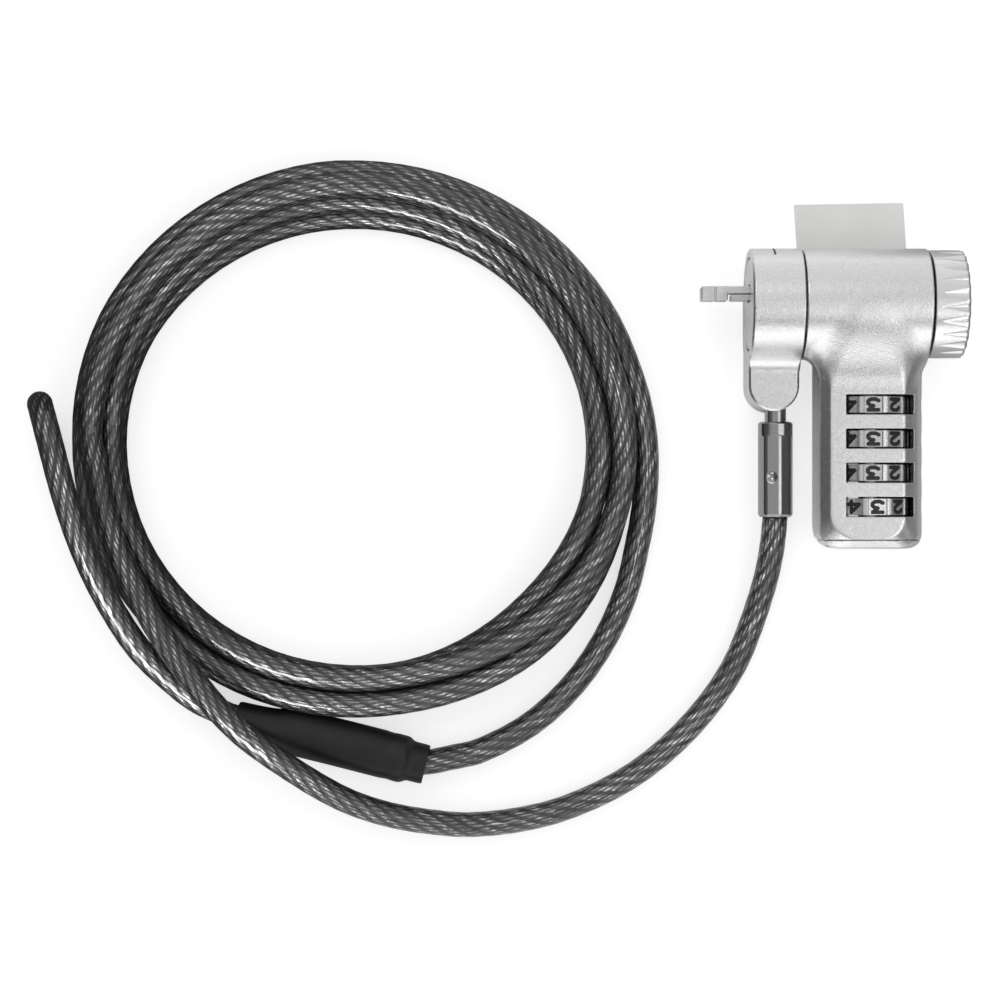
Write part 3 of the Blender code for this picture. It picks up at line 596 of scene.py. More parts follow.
coarse = [tuple(p) for p in through(LEAD, 6.0)]
coarse += [on_coil(0, p) for p in range(272, 360, 4)]
for turn in (1, 2, 3, 4):
    coarse += [on_coil(turn, p) for p in range(0, 360, 4)]
coarse += [on_coil(5, p) for p in range(0, 109, 4)]
coarse += TAIL + [(-17.0, -52.05, 4.3)]  # its end runs on a little way inside the sleeve
MAIN = through(coarse, 1.25, sub=6)
main_cable = cable_piece("steel_cable", MAIN)
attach(main_cable, "cable")
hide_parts("cable_lead", "cable_coil", "cable_tail")

plan = through([(x, y, 0) for x, y in EYE_PLAN], 1.0)
plan_walk = np.concatenate([[0], np.cumsum(np.linalg.norm(np.diff(plan, axis=0), axis=1))])
plan_long = plan_walk[-1]


def plan_at(t):
    return np.array([np.interp(t, plan_walk, plan[:, k]) for k in range(3)])


def eye_half(t):
    s = min(t / (plan_long - EYE_R), 1)
    return 2.52 + (EYE_R - 2.52) * s * s * (3 - 2 * s)


def leaning(p, z):
    k = 1 - (z - 5.6) * LEAN
    return (p[0] * k, p[1] * k, z)


under, over = [], []
for k in range(25):
    t = (plan_long - EYE_R) * k / 24
    p = plan_at(t)
    drop = 0.6 * max(0, 1 - t / 14) ** 2
    under.append(leaning(p, 2.52 + drop))
    over.append(leaning(p, 2.52 + drop + 2 * eye_half(t)))
tip = []
for k in range(1, 12):
    a = math.pi * k / 12
    p = plan_at(plan_long - EYE_R + EYE_R * math.sin(a))
    tip.append(leaning(p, 2.52 + EYE_R - EYE_R * math.cos(a)))
# both ends run on a little way inside the sleeve
inward = np.array(SLEEVE_END) - np.array(SLEEVE_MOUTH)
inward /= np.linalg.norm(inward)
under = [tuple(np.array(under[0]) + inward * k) for k in (3.2, 1.6)] + under
over = [tuple(np.array(over[0]) + inward * k) for k in (3.2, 1.6)] + over
LOOP = through(under + tip + over[::-1], 1.1, sub=8)
eye = cable_piece("cable_eye", LOOP, shift=7.0)
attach(eye, "cable")
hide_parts("cable_loop")

# the sleeve over the crimp: its skin follows two strands at the mouth and one at the plain end
end, mouth = np.array(SLEEVE_END), np.array(SLEEVE_MOUTH)
axis = mouth - end
sleeve_long = float(np.linalg.norm(axis))
flat = np.array([axis[0], axis[1], 0]) / math.hypot(axis[0], axis[1])
across = np.array([flat[1], -flat[0], 0])
COVER = [(0.0, 3.92, 3.92, 4.3), (1.6, 3.95, 3.95, 4.3), (3.0, 3.98, 3.98, 4.3), (3.7, 4.2, 4.15, 4.45),
         (4.5, 4.62, 4.55, 4.66), (5.6, 4.68, 4.62, 4.7), (12.0, 4.72, 4.64, 4.72), (20.0, 4.70, 4.64, 4.72),
         (26.8, 4.66, 4.66, 4.74), (28.6, 4.45, 4.72, 4.8), (30.0, 4.0, 4.86, 4.95), (31.2, 3.7, 5.0, 5.1),
         (34.0, 3.45, 5.3, 5.38), (sleeve_long - 0.2, 3.3, 5.5, 5.62)]
stations = np.concatenate([[0.0, 0.12, 0.35], np.linspace(0.6, sleeve_long - 0.7, 110),
                           [sleeve_long - 0.45, sleeve_long - 0.3, sleeve_long - 0.2]])
rows_out, rows_in = [], []
for s in stations:
    w, hgt, mid = ease(COVER, s)
    nip = 0.12 * math.exp(-(min(s, sleeve_long - 0.2 - s) / 0.25) ** 2)
    p = end + axis * (s / sleeve_long)
    row_o, row_i = [], []
    for k in range(64):
        a = 2 * math.pi * k / 64
        c, d = math.cos(a), math.sin(a)
        power = 2 / (2.25 if s > 4.5 else 2.0)
        cc, dd = math.copysign(abs(c) ** power, c), math.copysign(abs(d) ** power, d)
        crease = (0.05 * math.sin(3 * a + s * 0.12) * math.exp(-((s - 16) / 12) ** 2)
                  + 0.09 * math.exp(-((s - 4.1 - 0.5 * math.sin(2 * a)) / 0.45) ** 2)
                  - 0.10 * math.exp(-((s - 7.4 - 0.9 * math.sin(a + 0.6)) / 0.8) ** 2)
                  - 0.06 * math.exp(-((s - 27.3 - 0.6 * math.cos(2 * a)) / 0.7) ** 2))
        wo, ho = w + crease - nip, hgt + crease - nip
        row_o.append(np.array([p[0], p[1], mid]) + across * wo * cc + np.array([0, 0, ho * dd]))
        row_i.append(np.array([p[0], p[1], mid]) + across * (w - 0.55) * c + np.array([0, 0, (hgt - 0.45) * d]))
    rows_out.append(row_o)
    rows_in.append(row_i)
pts = np.array(rows_out + rows_in[::-1])
sleeve = make_mesh("crimp_cover", pts.reshape(-1, 3), grid_faces(len(pts), 64, wrap_rows=True), SHRINK)
sleeve.data.set_sharp_from_angle(angle=math.radians(60))
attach(sleeve, "cable")
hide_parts("sleeve_cover")

mm([(54.3, -3.4, 6.0)])[0]
mm(MAIN)
mm([SLEEVE_MOUTH])[0]
mm(LOOP)

# =====================================================================================================================
# floor and light
# =====================================================================================================================
bpy.ops.mesh.primitive_plane_add(size=6, location=(0, 0, 0))
floor = bpy.context.object
floor.name = "floor"
fm = bpy.data.materials.new("floor")
fm.use_nodes = True
fb = fm.node_tree.nodes["Principled BSDF"]
fb.inputs["Base Color"].default_value = (0.5, 0.5, 0.5, 1)
fb.inputs["Roughness"].default_value = 0.8
fb.inputs["Specular IOR Level"].default_value = 0.1
fb.inputs["Emission Color"].default_value = (1, 1, 1, 1)
fb.inputs["Emission Strength"].default_value = 0.68
# painted shade: for every ray but the camera's the table is a grey whose tone is painted by position round the lock, so
# the object's polished sides see a grey table, as under a studio's shades, while the table itself looks pale
grey = fm.node_tree.nodes.new("ShaderNodeBsdfDiffuse")
seen = fm.node_tree.nodes.new("ShaderNodeLightPath")
pick = fm.node_tree.nodes.new("ShaderNodeMixShader")
spot = fm.node_tree.nodes.new("ShaderNodeNewGeometry")
parts = fm.node_tree.nodes.new("ShaderNodeSeparateXYZ")
fm.node_tree.links.new(spot.outputs["Position"], parts.inputs[0])


def floor_fall(axis, near, far, low, high):
    """A value that goes from low to high with the distance from the lock along one axis."""
    away = fm.node_tree.nodes.new("ShaderNodeMath")
    away.operation = "ABSOLUTE"
    fm.node_tree.links.new(parts.outputs[axis], away.inputs[0])
    r = fm.node_tree.nodes.new("ShaderNodeMapRange")
    r.interpolation_type = "SMOOTHSTEP"
    for name, v in (("From Min", near), ("From Max", far), ("To Min", low), ("To Max", high)):
        r.inputs[name].default_value = v
    fm.node_tree.links.new(away.outputs[0], r.inputs["Value"])
    return r.outputs[0]


# the grey's painted tone: pale close to the lock, dimmer on its +x side, dark towards the ends of the room
one_side = fm.node_tree.nodes.new("ShaderNodeMapRange")
for name, v in (("From Min", 0.004), ("From Max", 0.02), ("To Min", 1.0), ("To Max", 0.55)):
    one_side.inputs[name].default_value = v
fm.node_tree.links.new(parts.outputs[0], one_side.inputs["Value"])
near = fm.node_tree.nodes.new("ShaderNodeMath")
near.operation = "MULTIPLY"
fm.node_tree.links.new(floor_fall(0, 0.024, 0.085, 1.0, 0.08), near.inputs[0])
fm.node_tree.links.new(one_side.outputs[0], near.inputs[1])
far_side = fm.node_tree.nodes.new("ShaderNodeMapRange")
for name, v in (("From Min", 0.03), ("From Max", 0.09), ("To Min", 0.0), ("To Max", 0.1)):
    far_side.inputs[name].default_value = v
fm.node_tree.links.new(parts.outputs[0], far_side.inputs["Value"])
tone = fm.node_tree.nodes.new("ShaderNodeMath")
tone.operation = "ADD"
fm.node_tree.links.new(near.outputs[0], tone.inputs[0])
fm.node_tree.links.new(far_side.outputs[0], tone.inputs[1])
fm.node_tree.links.new(tone.outputs[0], grey.inputs["Color"])
# reflections see the pale table some way off in y from the lock, and the painted grey elsewhere
band = fm.node_tree.nodes.new("ShaderNodeMath")
band.operation = "MULTIPLY"
fm.node_tree.links.new(floor_fall(1, 0.03, 0.11, 0.0, 1.0), band.inputs[0])
fm.node_tree.links.new(floor_fall(0, 0.06, 0.14, 1.0, 0.0), band.inputs[1])
bright = fm.node_tree.nodes.new("ShaderNodeMath")
bright.operation = "MAXIMUM"
fm.node_tree.links.new(band.outputs[0], bright.inputs[0])
fm.node_tree.links.new(seen.outputs["Is Camera Ray"], bright.inputs[1])
fm.node_tree.links.new(bright.outputs[0], pick.inputs[0])
fm.node_tree.links.new(grey.outputs[0], pick.inputs[1])
fm.node_tree.links.new(fb.outputs[0], pick.inputs[2])
fm.node_tree.links.new(pick.outputs[0], fm.node_tree.nodes["Material Output"].inputs[0])
floor.data.materials.append(fm)

world = bpy.data.worlds.new("studio")
SCENE.world = world
world.use_nodes = True
wt = world.node_tree
bg = wt.nodes["Background"]
geo = wt.nodes.new("ShaderNodeTexCoord")
sep = wt.nodes.new("ShaderNodeSeparateXYZ")
wt.links.new(geo.outputs["Generated"], sep.inputs[0])
# a long soft box overhead and white walls before and behind the lock; the two ends of the room are dark


def world_ramp(value, stops):
    r = wt.nodes.new("ShaderNodeValToRGB")
    r.color_ramp.interpolation = "EASE"
    while len(r.color_ramp.elements) < len(stops):
        r.color_ramp.elements.new(0.5)
    for el, (at, c) in zip(r.color_ramp.elements, stops):
        el.position, el.color = at, (c, c, c, 1)
    wt.links.new(value, r.inputs[0])
    return r.outputs[0]


def world_math(op, a, b):
    n = wt.nodes.new("ShaderNodeMath")
    n.operation = op
    for i, v in enumerate((a, b)):
        if isinstance(v, bpy.types.NodeSocket):
            wt.links.new(v, n.inputs[i])
        else:
            n.inputs[i].default_value = v
    return n.outputs[0]


along_x = world_math("ADD", world_math("MULTIPLY", sep.outputs[0], 0.5), 0.5)
along_y = world_math("ADD", world_math("MULTIPLY", sep.outputs[1], 0.5), 0.5)
walls = world_ramp(along_y, [(0.0, 0.98), (0.10, 0.98), (0.135, 0.55), (0.155, 0.15), (0.20, 0.15), (0.24, 0.42), (0.32, 0.52),
                             (0.42, 0.45), (0.54, 0.44), (0.71, 0.49), (0.87, 0.54), (1.0, 0.62)])
ends = world_ramp(along_x, [(0.04, 0.22), (0.26, 1.0), (0.74, 1.0), (0.88, 0.66), (1.0, 0.60)])
wt.links.new(world_math("MULTIPLY", walls, ends), bg.inputs[0])
bg.inputs[1].default_value = 1.45


def lamp(name, at, aim, size, power, size_y=None):
    data = bpy.data.lights.new(name, "AREA")
    data.shape = "RECTANGLE"
    data.size, data.size_y = size, size_y or size
    data.energy = power
    ob = bpy.data.objects.new(name, data)
    SCENE.collection.objects.link(ob)
    ob.location = at
    ob.rotation_euler = (Vector(aim) - Vector(at)).to_track_quat("-Z", "Y").to_euler()
    return ob


lamp("key", (-0.45, 0.6, 1.1), (-0.02, 0, 0), 0.7, 2.2, 0.7)
lamp("fill", (0.55, -0.45, 1.0), (0, 0, 0), 0.6, 1.2, 0.6)
lamp("strip", (0.62, -0.02, 0.8), (-0.01, -0.02, 0), 0.09, 0.55, 0.9)
# two small soft lamps draw the long highlights on the glossy jacket, and light nothing else
jacket = bpy.data.collections.new("jacket")
for ob in (main_cable, eye):
    jacket.objects.link(ob)
for small in (lamp("streak", (-0.183, -0.203, 0.17), (-0.099, -0.023, 0.006), 0.10, 0.55, 0.075),
              lamp("thin_streak", (0.009, -0.131, 0.587), (-0.099, -0.023, 0.006), 0.06, 0.14, 0.06)):
    small.light_linking.receiver_collection = jacket
    small.visible_camera = False

# =====================================================================================================================
# the cast head
# =====================================================================================================================
BY, BZ, BR = 38.28, 10.9, 10.85
DIAL_X, DIAL_Z = 72.5, 8.0
DIAL_Y = [18.53, 11.91, 5.29, -1.33]
STEM_X, STEM_Z = 54.4, 6.0
PART_Y = -7.76


def paddle_full(x, y, z):
    """The dial case's outer shape down to the end of its cap."""
    left = rmax(62.15 - x, plane2((62.15, 14.0), (64.0, 15.9), x, z), 0.35)
    left = rmax(left, plane2((63.4, 0.0), (62.15, 1.25), x, z), 0.3)
    top = rmax(left, z - 15.9, 0.30)
    dents = sum(np.exp(-((y - yc) / 1.5) ** 2) for yc in DIAL_Y)
    edge = 83.16 - 0.2 * dents
    right = rmax(x - edge, plane2((82.45, 11.3), (83.12, 8.5), x, z), 0.9)
    right = rmax(right, plane2((80.95, 13.5), (82.45, 11.3), x, z), 0.9)
    right = rmax(right, plane2((78.4, 15.9), (80.95, 13.5), x, z), 0.7)
    right = rmax(right, plane2((82.7, 1.2), (81.4, 0.0), x, z), 0.4)
    low = rmax(-9.6 - y, plane2((-9.6, 13.9), (-7.85, 15.9), y, z), 0.5)
    low = rmax(low, plane2((-8.6, 0.0), (-9.6, 1.2), y, z), 0.3)
    side = rmax(rmax(left, low, 4.3), rmax(right, low, 3.3), 0.3)
    return rmax(rmax(side, top, 0.25), -z, 0.2)


def head_full(x, y, z):
    r = np.hypot(y - BY, z - BZ) - BR
    barrel = rmax(r, slab(x, 58.95, 83.2), 0.28)
    case = rmax(paddle_full(x, y, z), y - 37.0, 0.5)
    t = np.clip((z - 9.0) / 6.0, 0, 1)
    joined = rmin(barrel, case, 3.6 + 3.2 * t * t * (3 - 2 * t))
    return np.maximum(np.maximum(joined, slab(x, 58.95, 83.2)), 0.02 - z)


def housing_sdf(x, y, z):
    f = head_full(x, y, z)
    spigot = rmax(np.hypot(y - BY, z - BZ) - 6.5, slab(x, 50.4, 60.5), 0.15)
    f = np.minimum(f, spigot)
    f = rmax(f, PART_Y + 0.03 - y, 0.06)
    for yc in DIAL_Y:
        window = block(x, y, z, 67.1, 80.5, yc - 1.92, yc + 1.92, 8.3, 19.0, 0.15)
        pocket = rmax(np.hypot(x - DIAL_X, z - DIAL_Z) - 8.2, slab(y, yc - 1.94, yc + 1.94), 0.05)
        back = block(x, y, z, 69.5, 75.5, yc - 1.92, yc + 1.92, -2.0, 2.6, 0.15)
        f = rmax(f, -np.minimum(np.minimum(window, pocket), back), 0.22)
    bore = np.maximum(np.hypot(y - BY, z - BZ) - 5.0, 61.6 - x)
    slot = block(x, y, z, 48.0, 62.5, 38.6, 42.0, 8.1, 13.7)
    spindle = np.maximum(np.hypot(x - DIAL_X, z - DIAL_Z) - 2.3, y - 22.3)
    leaf = block(x, y, z, 63.45, 65.4, -3.2, 20.4, 6.4, 9.6)
    label = np.maximum(28.7 - y, z - 0.66)
    hollow = np.minimum(np.minimum(np.minimum(bore, slot), np.minimum(spindle, leaf)), label)
    for sx in (65.6, 79.4):
        hollow = np.minimum(hollow, np.maximum(np.hypot(x - sx, z - DIAL_Z) - 1.1, y + 3.9))
    return rmax(f, -hollow, 0.12)


def cap_sdf(x, y, z):
    f = paddle_full(x, y, z)
    ragged = 0.035 * np.sin(x * 4.1 + 0.6) * np.sin(x * 1.7 + 2.0) + 0.02 * np.sin(x * 9.3)
    f = rmax(f, y - (PART_Y - 0.07) + ragged, 0.06)
    hollow = np.hypot(x - DIAL_X, z - DIAL_Z) - 2.0
    for sx in (65.6, 79.4):
        r = np.hypot(x - sx, z - DIAL_Z)
        hollow = np.minimum(hollow, np.minimum(np.maximum(r - 1.75, y + 8.65), r - 1.1))
    return rmax(f, -hollow, 0.15)


def collar_sdf(x, y, z):
    r = np.hypot(y - BY, z - BZ)
    ring = cmax(rmax(r - BR, x - 58.65, 0.2), 48.55 - x, 0.35)
    mid, half = 53.53, 4.93
    outline = np.where(y < 17.37 + half, np.hypot(x - mid, y - (17.37 + half)) - half, np.abs(x - mid) - half)
    outline = np.maximum(outline, y - BY)
    body = cmax(outline, slab(z, 0.05, 12.0), 0.42)
    outer = rmin(ring, body, 2.9)
    outer = np.maximum(np.maximum(outer, 0.05 - z), np.maximum(48.55 - x, x - 58.65))
    hollow = np.minimum(np.maximum(r - 9.2, x - 50.3), r - 6.8)
    stem = np.hypot(x - STEM_X, z - STEM_Z)
    hollow = np.minimum(hollow, np.maximum(stem - 2.4, y - 30))
    hollow = np.minimum(hollow, np.maximum(stem - 3.5, np.maximum(20.2 - y, y - 33)))
    return rmax(outer, -hollow, 0.15)


def solid_piece(name, f, low, high, h, material, body, slot, *replaced, sharp=None):
    v, q, n = surface(f, low, high, h)
    ob = make_mesh(name, v, q, material, normals=n)
    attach(ob, body)
    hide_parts(*replaced)
    return ob


H = 0.25
housing = solid_piece("lock_body", housing_sdf, (49.9, -8.3, -0.5), (84.2, 49.8, 22.4), H, ZINC, "head", "satin_zinc",
                      "lock_housing")
cap = solid_piece("end_cap", cap_sdf, (61.5, -10.2, -0.5), (83.5, -7.3, 16.5), H * 0.8, ZINC, "head", "satin_zinc",
                  "bottom_cap")
collar = solid_piece("collar_shell", collar_sdf, (48.0, 16.8, -0.5), (59.3, 49.8, 22.4), H * 0.8, ZINC, "collar",
                     "satin_zinc", "swivel_collar")


def arc_mark():
    """A short line across the collar's crown that shows where the swivel stands."""
    t = np.radians(np.linspace(58, 98, 14))
    rows = []
    for r, x in ((BR - 0.1, 53.05), (BR + 0.025, 53.05), (BR + 0.025, 53.45), (BR - 0.1, 53.45)):
        rows.append(np.stack([np.full(14, x), BY + r * np.sin(t), BZ + r * np.cos(t)], 1))
    pts = np.array(rows)
    side = grid_faces(4, 14, wrap_cols=False, wrap_rows=True)
    ends = np.array([[0, 14, 28, 42], [13 + 42, 13 + 28, 13 + 14, 13]])
    return pts.reshape(-1, 3), np.concatenate([side, ends])


mv, mf = arc_mark()
mark = make_mesh("index_mark", mv, mf, INK)
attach(mark, "collar")


def ferrule_sdf(x, y, z):
    u, w = x - STEM_X, z - STEM_Z
    f = None
    for k in range(8):
        a = math.radians(84 + 22.5 + 45 * k)
        side = u * math.cos(a) + w * math.sin(a) - 3.3
        f = side if f is None else rmax(f, side, 0.34)
    r = np.hypot(u, w)
    ends = cmax(f, -3.36 - y, 0.5)
    ends = cmax(ends, r - 3.5, 0.1)
    ends = cmax(ends, y - 12.9, 0.25)
    ring = cmax(cmax(r - 3.4, y - 15.4, 0.35), 12.5 - y, 0.1)
    f = rmin(ends, ring, 0.1)
    f = rmax(f, -np.maximum(r - 2.4, 12.0 - y), 0.15)
    f = rmax(f, -(np.maximum(r - 2.75, y + 3.0)), 0.1)
    a = math.radians(107)
    dimple = np.sqrt((u - 4.2 * math.cos(a)) ** 2 + (y - 4.5) ** 2 + (w - 4.2 * math.sin(a)) ** 2) - 1.35
    return rmax(f, -dimple, 0.25)


ferrule = solid_piece("cable_socket", ferrule_sdf, (50.6, -3.9, 2.2), (58.2, 15.9, 9.8), 0.15,
                      DARK, "cable", "dark_chrome", "cable_ferrule")


def hook_sdf(x, y, z):
    head = block(x, y, z, 39.0, 44.4, 38.9, 41.65, 8.4, 13.4, 0.2)
    head = cmax(head, 39.0 - x, 0.45)
    groove = np.maximum(slab(x, 41.82, 42.06), -block(x, y, z, 38.0, 45.0, 39.1, 41.45, 8.6, 13.2))
    head = np.maximum(head, -groove)
    shank = block(x, y, z, 43.0, 61.2, 40.25, 41.65, 8.4, 13.4, 0.15)
    return rmin(head, shank, 0.1)


hook = solid_piece("slot_hook", hook_sdf, (38.6, 38.4, 8.0), (61.7, 42.1, 13.8), 0.16, HOOK,
                   "head", "steel", "hook_bar")

# =====================================================================================================================
# the knob
# =====================================================================================================================
FLUTES, AROUND = 24, 24 * 16
KX0, KX1, KR = 83.6, 90.4, 10.55


def knob_mesh():
    th = 2 * np.pi * np.arange(AROUND) / AROUND
    phase = (np.arange(AROUND) % 16) / 16.0  # 0 at a ridge, 0.5 in the middle of a flute
    across_flute = np.abs(phase - 0.5) * 2  # 1 at the ridge, 0 at the middle
    profile = [(KX0, 3.4), (KX0, 5.4), (KX0, 10.2), (KX0 + 0.06, 10.42), (KX0 + 0.2, KR)]
    profile += [(x, KR) for x in np.linspace(84.2, 89.5, 20)]
    mid = 0.75
    for a in np.linspace(0.0, 90.0, 10):
        t = math.radians(a)
        profile.append((KX1 - mid + mid * math.sin(t), KR - mid + mid * math.cos(t)))
    profile += [(KX1, 9.2), (KX1, 8.4), (KX1, 6.0), (KX1, 4.2), (KX1 - 0.02, 3.62), (KX1 - 0.2, 3.42), (88.2, 3.4),
                (88.2, 1.75), (87.0, 1.65), (87.0, 3.3)]
    rows = []
    for i, (x, r) in enumerate(profile):
        s = min(max((x - 85.0) / (KX1 - 85.0), 0), 1)
        wide = 0.06 + 0.90 * s if s > 0 else 0.0  # a flute starts as a point and widens towards the knob's end
        inside = np.clip(1 - across_flute / max(wide, 1e-3), 0, 1) if wide > 0 else np.zeros(AROUND)
        depth = 0.52 * wide * (inside - 0.12 * (1 - np.abs(2 * inside - 1)))
        if r < 9.7:
            depth = depth * min(max((r - 6.5) / 3.2, 0), 1)
        if x < 85.0 or x < 88.5 and r < 5:
            depth = depth * 0
        rr = r - depth
        rows.append(np.stack([np.full(AROUND, x), BY + rr * np.cos(th), BZ + rr * np.sin(th)], 1))
    pts = np.array(rows)
    return pts.reshape(-1, 3), grid_faces(len(rows), AROUND, wrap_rows=True)


kv, kf = knob_mesh()
knob = make_mesh("turning_knob", kv, kf, KNOB)
knob.data.set_sharp_from_angle(angle=math.radians(28))
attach(knob, "knob")
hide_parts("knob")

# =====================================================================================================================
# the number dials
# =====================================================================================================================
STROKES = {
    0: [[(0.5, 1.0), (0.2, 0.93), (0.06, 0.7), (0.04, 0.5), (0.06, 0.3), (0.2, 0.07), (0.5, 0.0), (0.8, 0.07),
         (0.94, 0.3), (0.96, 0.5), (0.94, 0.7), (0.8, 0.93), (0.5, 1.0)]],
    1: [[(0.2, 0.8), (0.55, 1.0), (0.55, 0.0)]],
    2: [[(0.06, 0.74), (0.14, 0.92), (0.38, 1.0), (0.66, 0.99), (0.88, 0.88), (0.92, 0.68), (0.8, 0.5), (0.06, 0.0),
         (0.96, 0.0)]],
    3: [[(0.08, 1.0), (0.92, 1.0), (0.48, 0.62), (0.74, 0.58), (0.93, 0.40), (0.92, 0.17), (0.70, 0.01), (0.34, 0.0),
         (0.06, 0.14)]],
    4: [[(0.72, 0.0), (0.72, 1.0), (0.02, 0.27), (0.98, 0.27)]],
    5: [[(0.88, 1.0), (0.2, 1.0), (0.13, 0.56), (0.5, 0.64), (0.84, 0.54), (0.95, 0.32), (0.84, 0.09), (0.5, 0.0),
         (0.08, 0.1)]],
    6: [[(0.8, 1.0), (0.4, 0.82), (0.12, 0.5), (0.06, 0.25), (0.2, 0.06), (0.5, 0.0), (0.82, 0.08), (0.94, 0.3),
         (0.82, 0.54), (0.5, 0.62), (0.2, 0.54), (0.1, 0.4)]],
    7: [[(0.06, 1.0), (0.94, 1.0), (0.36, 0.0)]],
    8: [[(0.5, 0.54), (0.2, 0.64), (0.14, 0.8), (0.26, 0.95), (0.5, 1.0), (0.74, 0.95), (0.86, 0.8), (0.8, 0.64),
         (0.5, 0.54), (0.16, 0.42), (0.06, 0.24), (0.2, 0.06), (0.5, 0.0), (0.8, 0.06), (0.94, 0.24), (0.84, 0.42),
         (0.5, 0.54)]],
    9: [[(0.2, 0.0), (0.6, 0.18), (0.88, 0.5), (0.94, 0.75), (0.8, 0.94), (0.5, 1.0), (0.18, 0.92), (0.06, 0.7),
         (0.18, 0.46), (0.5, 0.38), (0.8, 0.46), (0.9, 0.6)]],
}
DIGIT_W, DIGIT_H, STROKE = 2.36, 2.1, 0.78


def digit_shape(d):
    """A raised figure in its own plane: u across, v up, w out of the facet."""
    lines = []
    for path in STROKES[d]:
        p = np.array(path)
        p = np.stack([(p[:, 0] - 0.5) * DIGIT_W, (p[:, 1] - 0.5) * DIGIT_H], 1)
        lines += list(zip(p[:-1], p[1:]))

    def f(x, y, z):
        best = np.full(x.shape, 9.0)
        for a, b in lines:
            ab = b - a
            t = np.clip(((x - a[0]) * ab[0] + (y - a[1]) * ab[1]) / (ab @ ab), 0, 1)
            best = np.minimum(best, np.hypot(x - a[0] - t * ab[0], y - a[1] - t * ab[1]))
        return rmax(best - STROKE / 2, np.abs(z) - 0.09, 0.03)

    h = 0.085
    return surface(f, (-1.6, -1.6, -0.2), (1.6, 1.6, 0.2), h, relax=3)


DIGITS = {d: digit_shape(d) for d in range(10)}
W2 = 1.65


def dial_mesh(yc, turn_deg):
    """One wheel: ten flats between narrow ribs, and a figure on each flat."""
    per = []  # (degrees from the flat's middle, radius)
    flat_r = 7.42
    for a in (-13.0, -9, -4.5, 0, 4.5, 9, 13.0):
        per.append((a, flat_r / math.cos(math.radians(a))))
    per += [(13.3, 7.74), (14.0, 7.83), (15.2, 7.87), (18.0, 7.9), (20.8, 7.87), (22.0, 7.83), (22.7, 7.74)]
    ring = []
    for k in range(10):
        for a, r in per:
            t = math.radians(36 * k + a + turn_deg)
            ring.append((r, math.sin(t), math.cos(t)))
    ring = np.array(ring)
    n = len(ring)
    rows = []
    for y, inset, scale in ((-W2, None, 4.75), (-W2, 0.12, None), (-W2 + 0.12, 0.0, None), (W2 - 0.12, 0.0, None),
                            (W2, 0.12, None), (W2, None, 4.75)):
        r = np.full(n, scale) if scale else ring[:, 0] - inset
        rows.append(np.stack([DIAL_X + r * ring[:, 1], np.full(n, yc + y), DIAL_Z + r * ring[:, 2]], 1))
    verts = [np.array(rows).reshape(-1, 3)]
    faces = [grid_faces(len(rows), n, wrap_rows=True)]
    mats = [np.zeros(len(faces[0]), int)]
    at = len(verts[0])
    for d in range(10):
        v, q, _ = DIGITS[d]
        t = math.radians((3 - d) * 36 + turn_deg)
        out = np.array([math.sin(t), 0, math.cos(t)])
        right = np.array([-math.cos(t), 0, math.sin(t)])  # the figure reads from the far side of the lock
        up = np.array([0, -1.0, 0])
        base = np.array([DIAL_X, yc, DIAL_Z]) + out * flat_r
        verts.append(base + v[:, :1] * right + v[:, 1:2] * up + (v[:, 2:3] - 0.05) * out)
        faces.append(q + at)
        mats.append(np.ones(len(q), int))
        at += len(v)
    return np.concatenate(verts), np.concatenate(faces), np.concatenate(mats)


TURNS = [-1.0, -1.0, -1.5, 5.5]
for i, yc in enumerate(DIAL_Y, 1):
    v, q, fmat = dial_mesh(yc, TURNS[i - 1])
    ob = make_mesh(f"number_wheel_{i}", v, q, [DIAL, INK], face_mat=fmat)
    ob.data.set_sharp_from_angle(angle=math.radians(30))
    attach(ob, f"dial_{i}")
    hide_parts(f"dial_{i}")

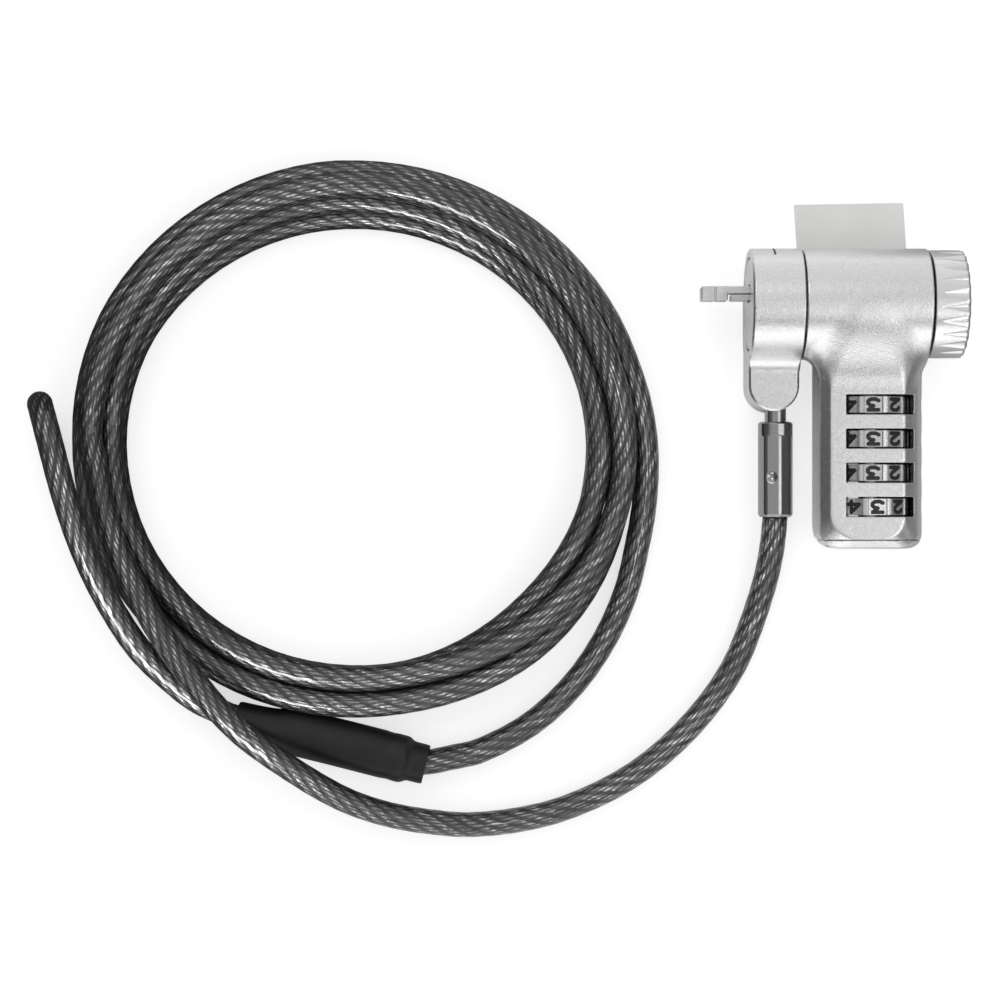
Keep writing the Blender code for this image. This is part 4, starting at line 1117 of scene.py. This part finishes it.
# =====================================================================================================================
# the film tag, and worn edges on what keeps its CAD shape
# =====================================================================================================================
TAG = [(58.75, 59.0), (59.35, 50.0), (60.6, 30.0), (82.4, 30.3), (81.2, 50.0), (80.6, 59.4)]
left_edge = through([(x, y, 0) for x, y in TAG[:3]], 0.8)
right_edge = through([(x, y, 0) for x, y in TAG[:2:-1]], 0.8)
n_rows = 36
la = np.stack([np.interp(np.linspace(0, 1, n_rows), np.linspace(0, 1, len(left_edge)), left_edge[:, k]) for k in range(3)], 1)
ra = np.stack([np.interp(np.linspace(0, 1, n_rows), np.linspace(0, 1, len(right_edge)), right_edge[:, k]) for k in range(3)], 1)
cols = np.linspace(0, 1, 24)[None, :, None]
sheet_mid = la[:, None] * (1 - cols) + ra[:, None] * cols
lift = 0.0
u = np.linspace(0, 1, n_rows)[:, None]
wave = 0.05 * np.sin(np.linspace(0, 1, 24) * 5.0)[None] * (1 - u)
z_low = 0.07 + np.maximum(wave, 0)
top = sheet_mid.copy()
bottom = sheet_mid.copy()
bottom[..., 2] = z_low
top[..., 2] = z_low + 0.16
nv = n_rows * 24
allv = np.concatenate([top.reshape(-1, 3), bottom.reshape(-1, 3)])
gf = grid_faces(n_rows, 24, wrap_cols=False)
edge = ([(0, j) for j in range(24)] + [(i, 23) for i in range(1, n_rows)] + [(n_rows - 1, j) for j in range(22, -1, -1)]
        + [(i, 0) for i in range(n_rows - 2, 0, -1)])
ids = [i * 24 + j for i, j in edge]
rim = np.array([[ids[k], ids[(k + 1) % len(ids)], ids[(k + 1) % len(ids)] + nv, ids[k] + nv] for k in range(len(ids))])
tag = make_mesh("film_tag", allv, np.concatenate([gf, gf[:, ::-1] + nv, rim]), FILM)
tag.data.set_sharp_from_angle(angle=math.radians(40))
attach(tag, "head")
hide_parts("label_tag")

for node, width in (("nose_plate", 0.00012), ("wedge_bar", 0.00012), ("swivel_stem", 0.00012), ("knob_screw", 0.00012),
                    ("cap_screw_1", 0.0001), ("cap_screw_2", 0.0001), ("reset_screw", 0.0001),
                    ("cam_shaft", 0.00015), ("shaft_bushing", 0.0001)):
    soften(node, width)
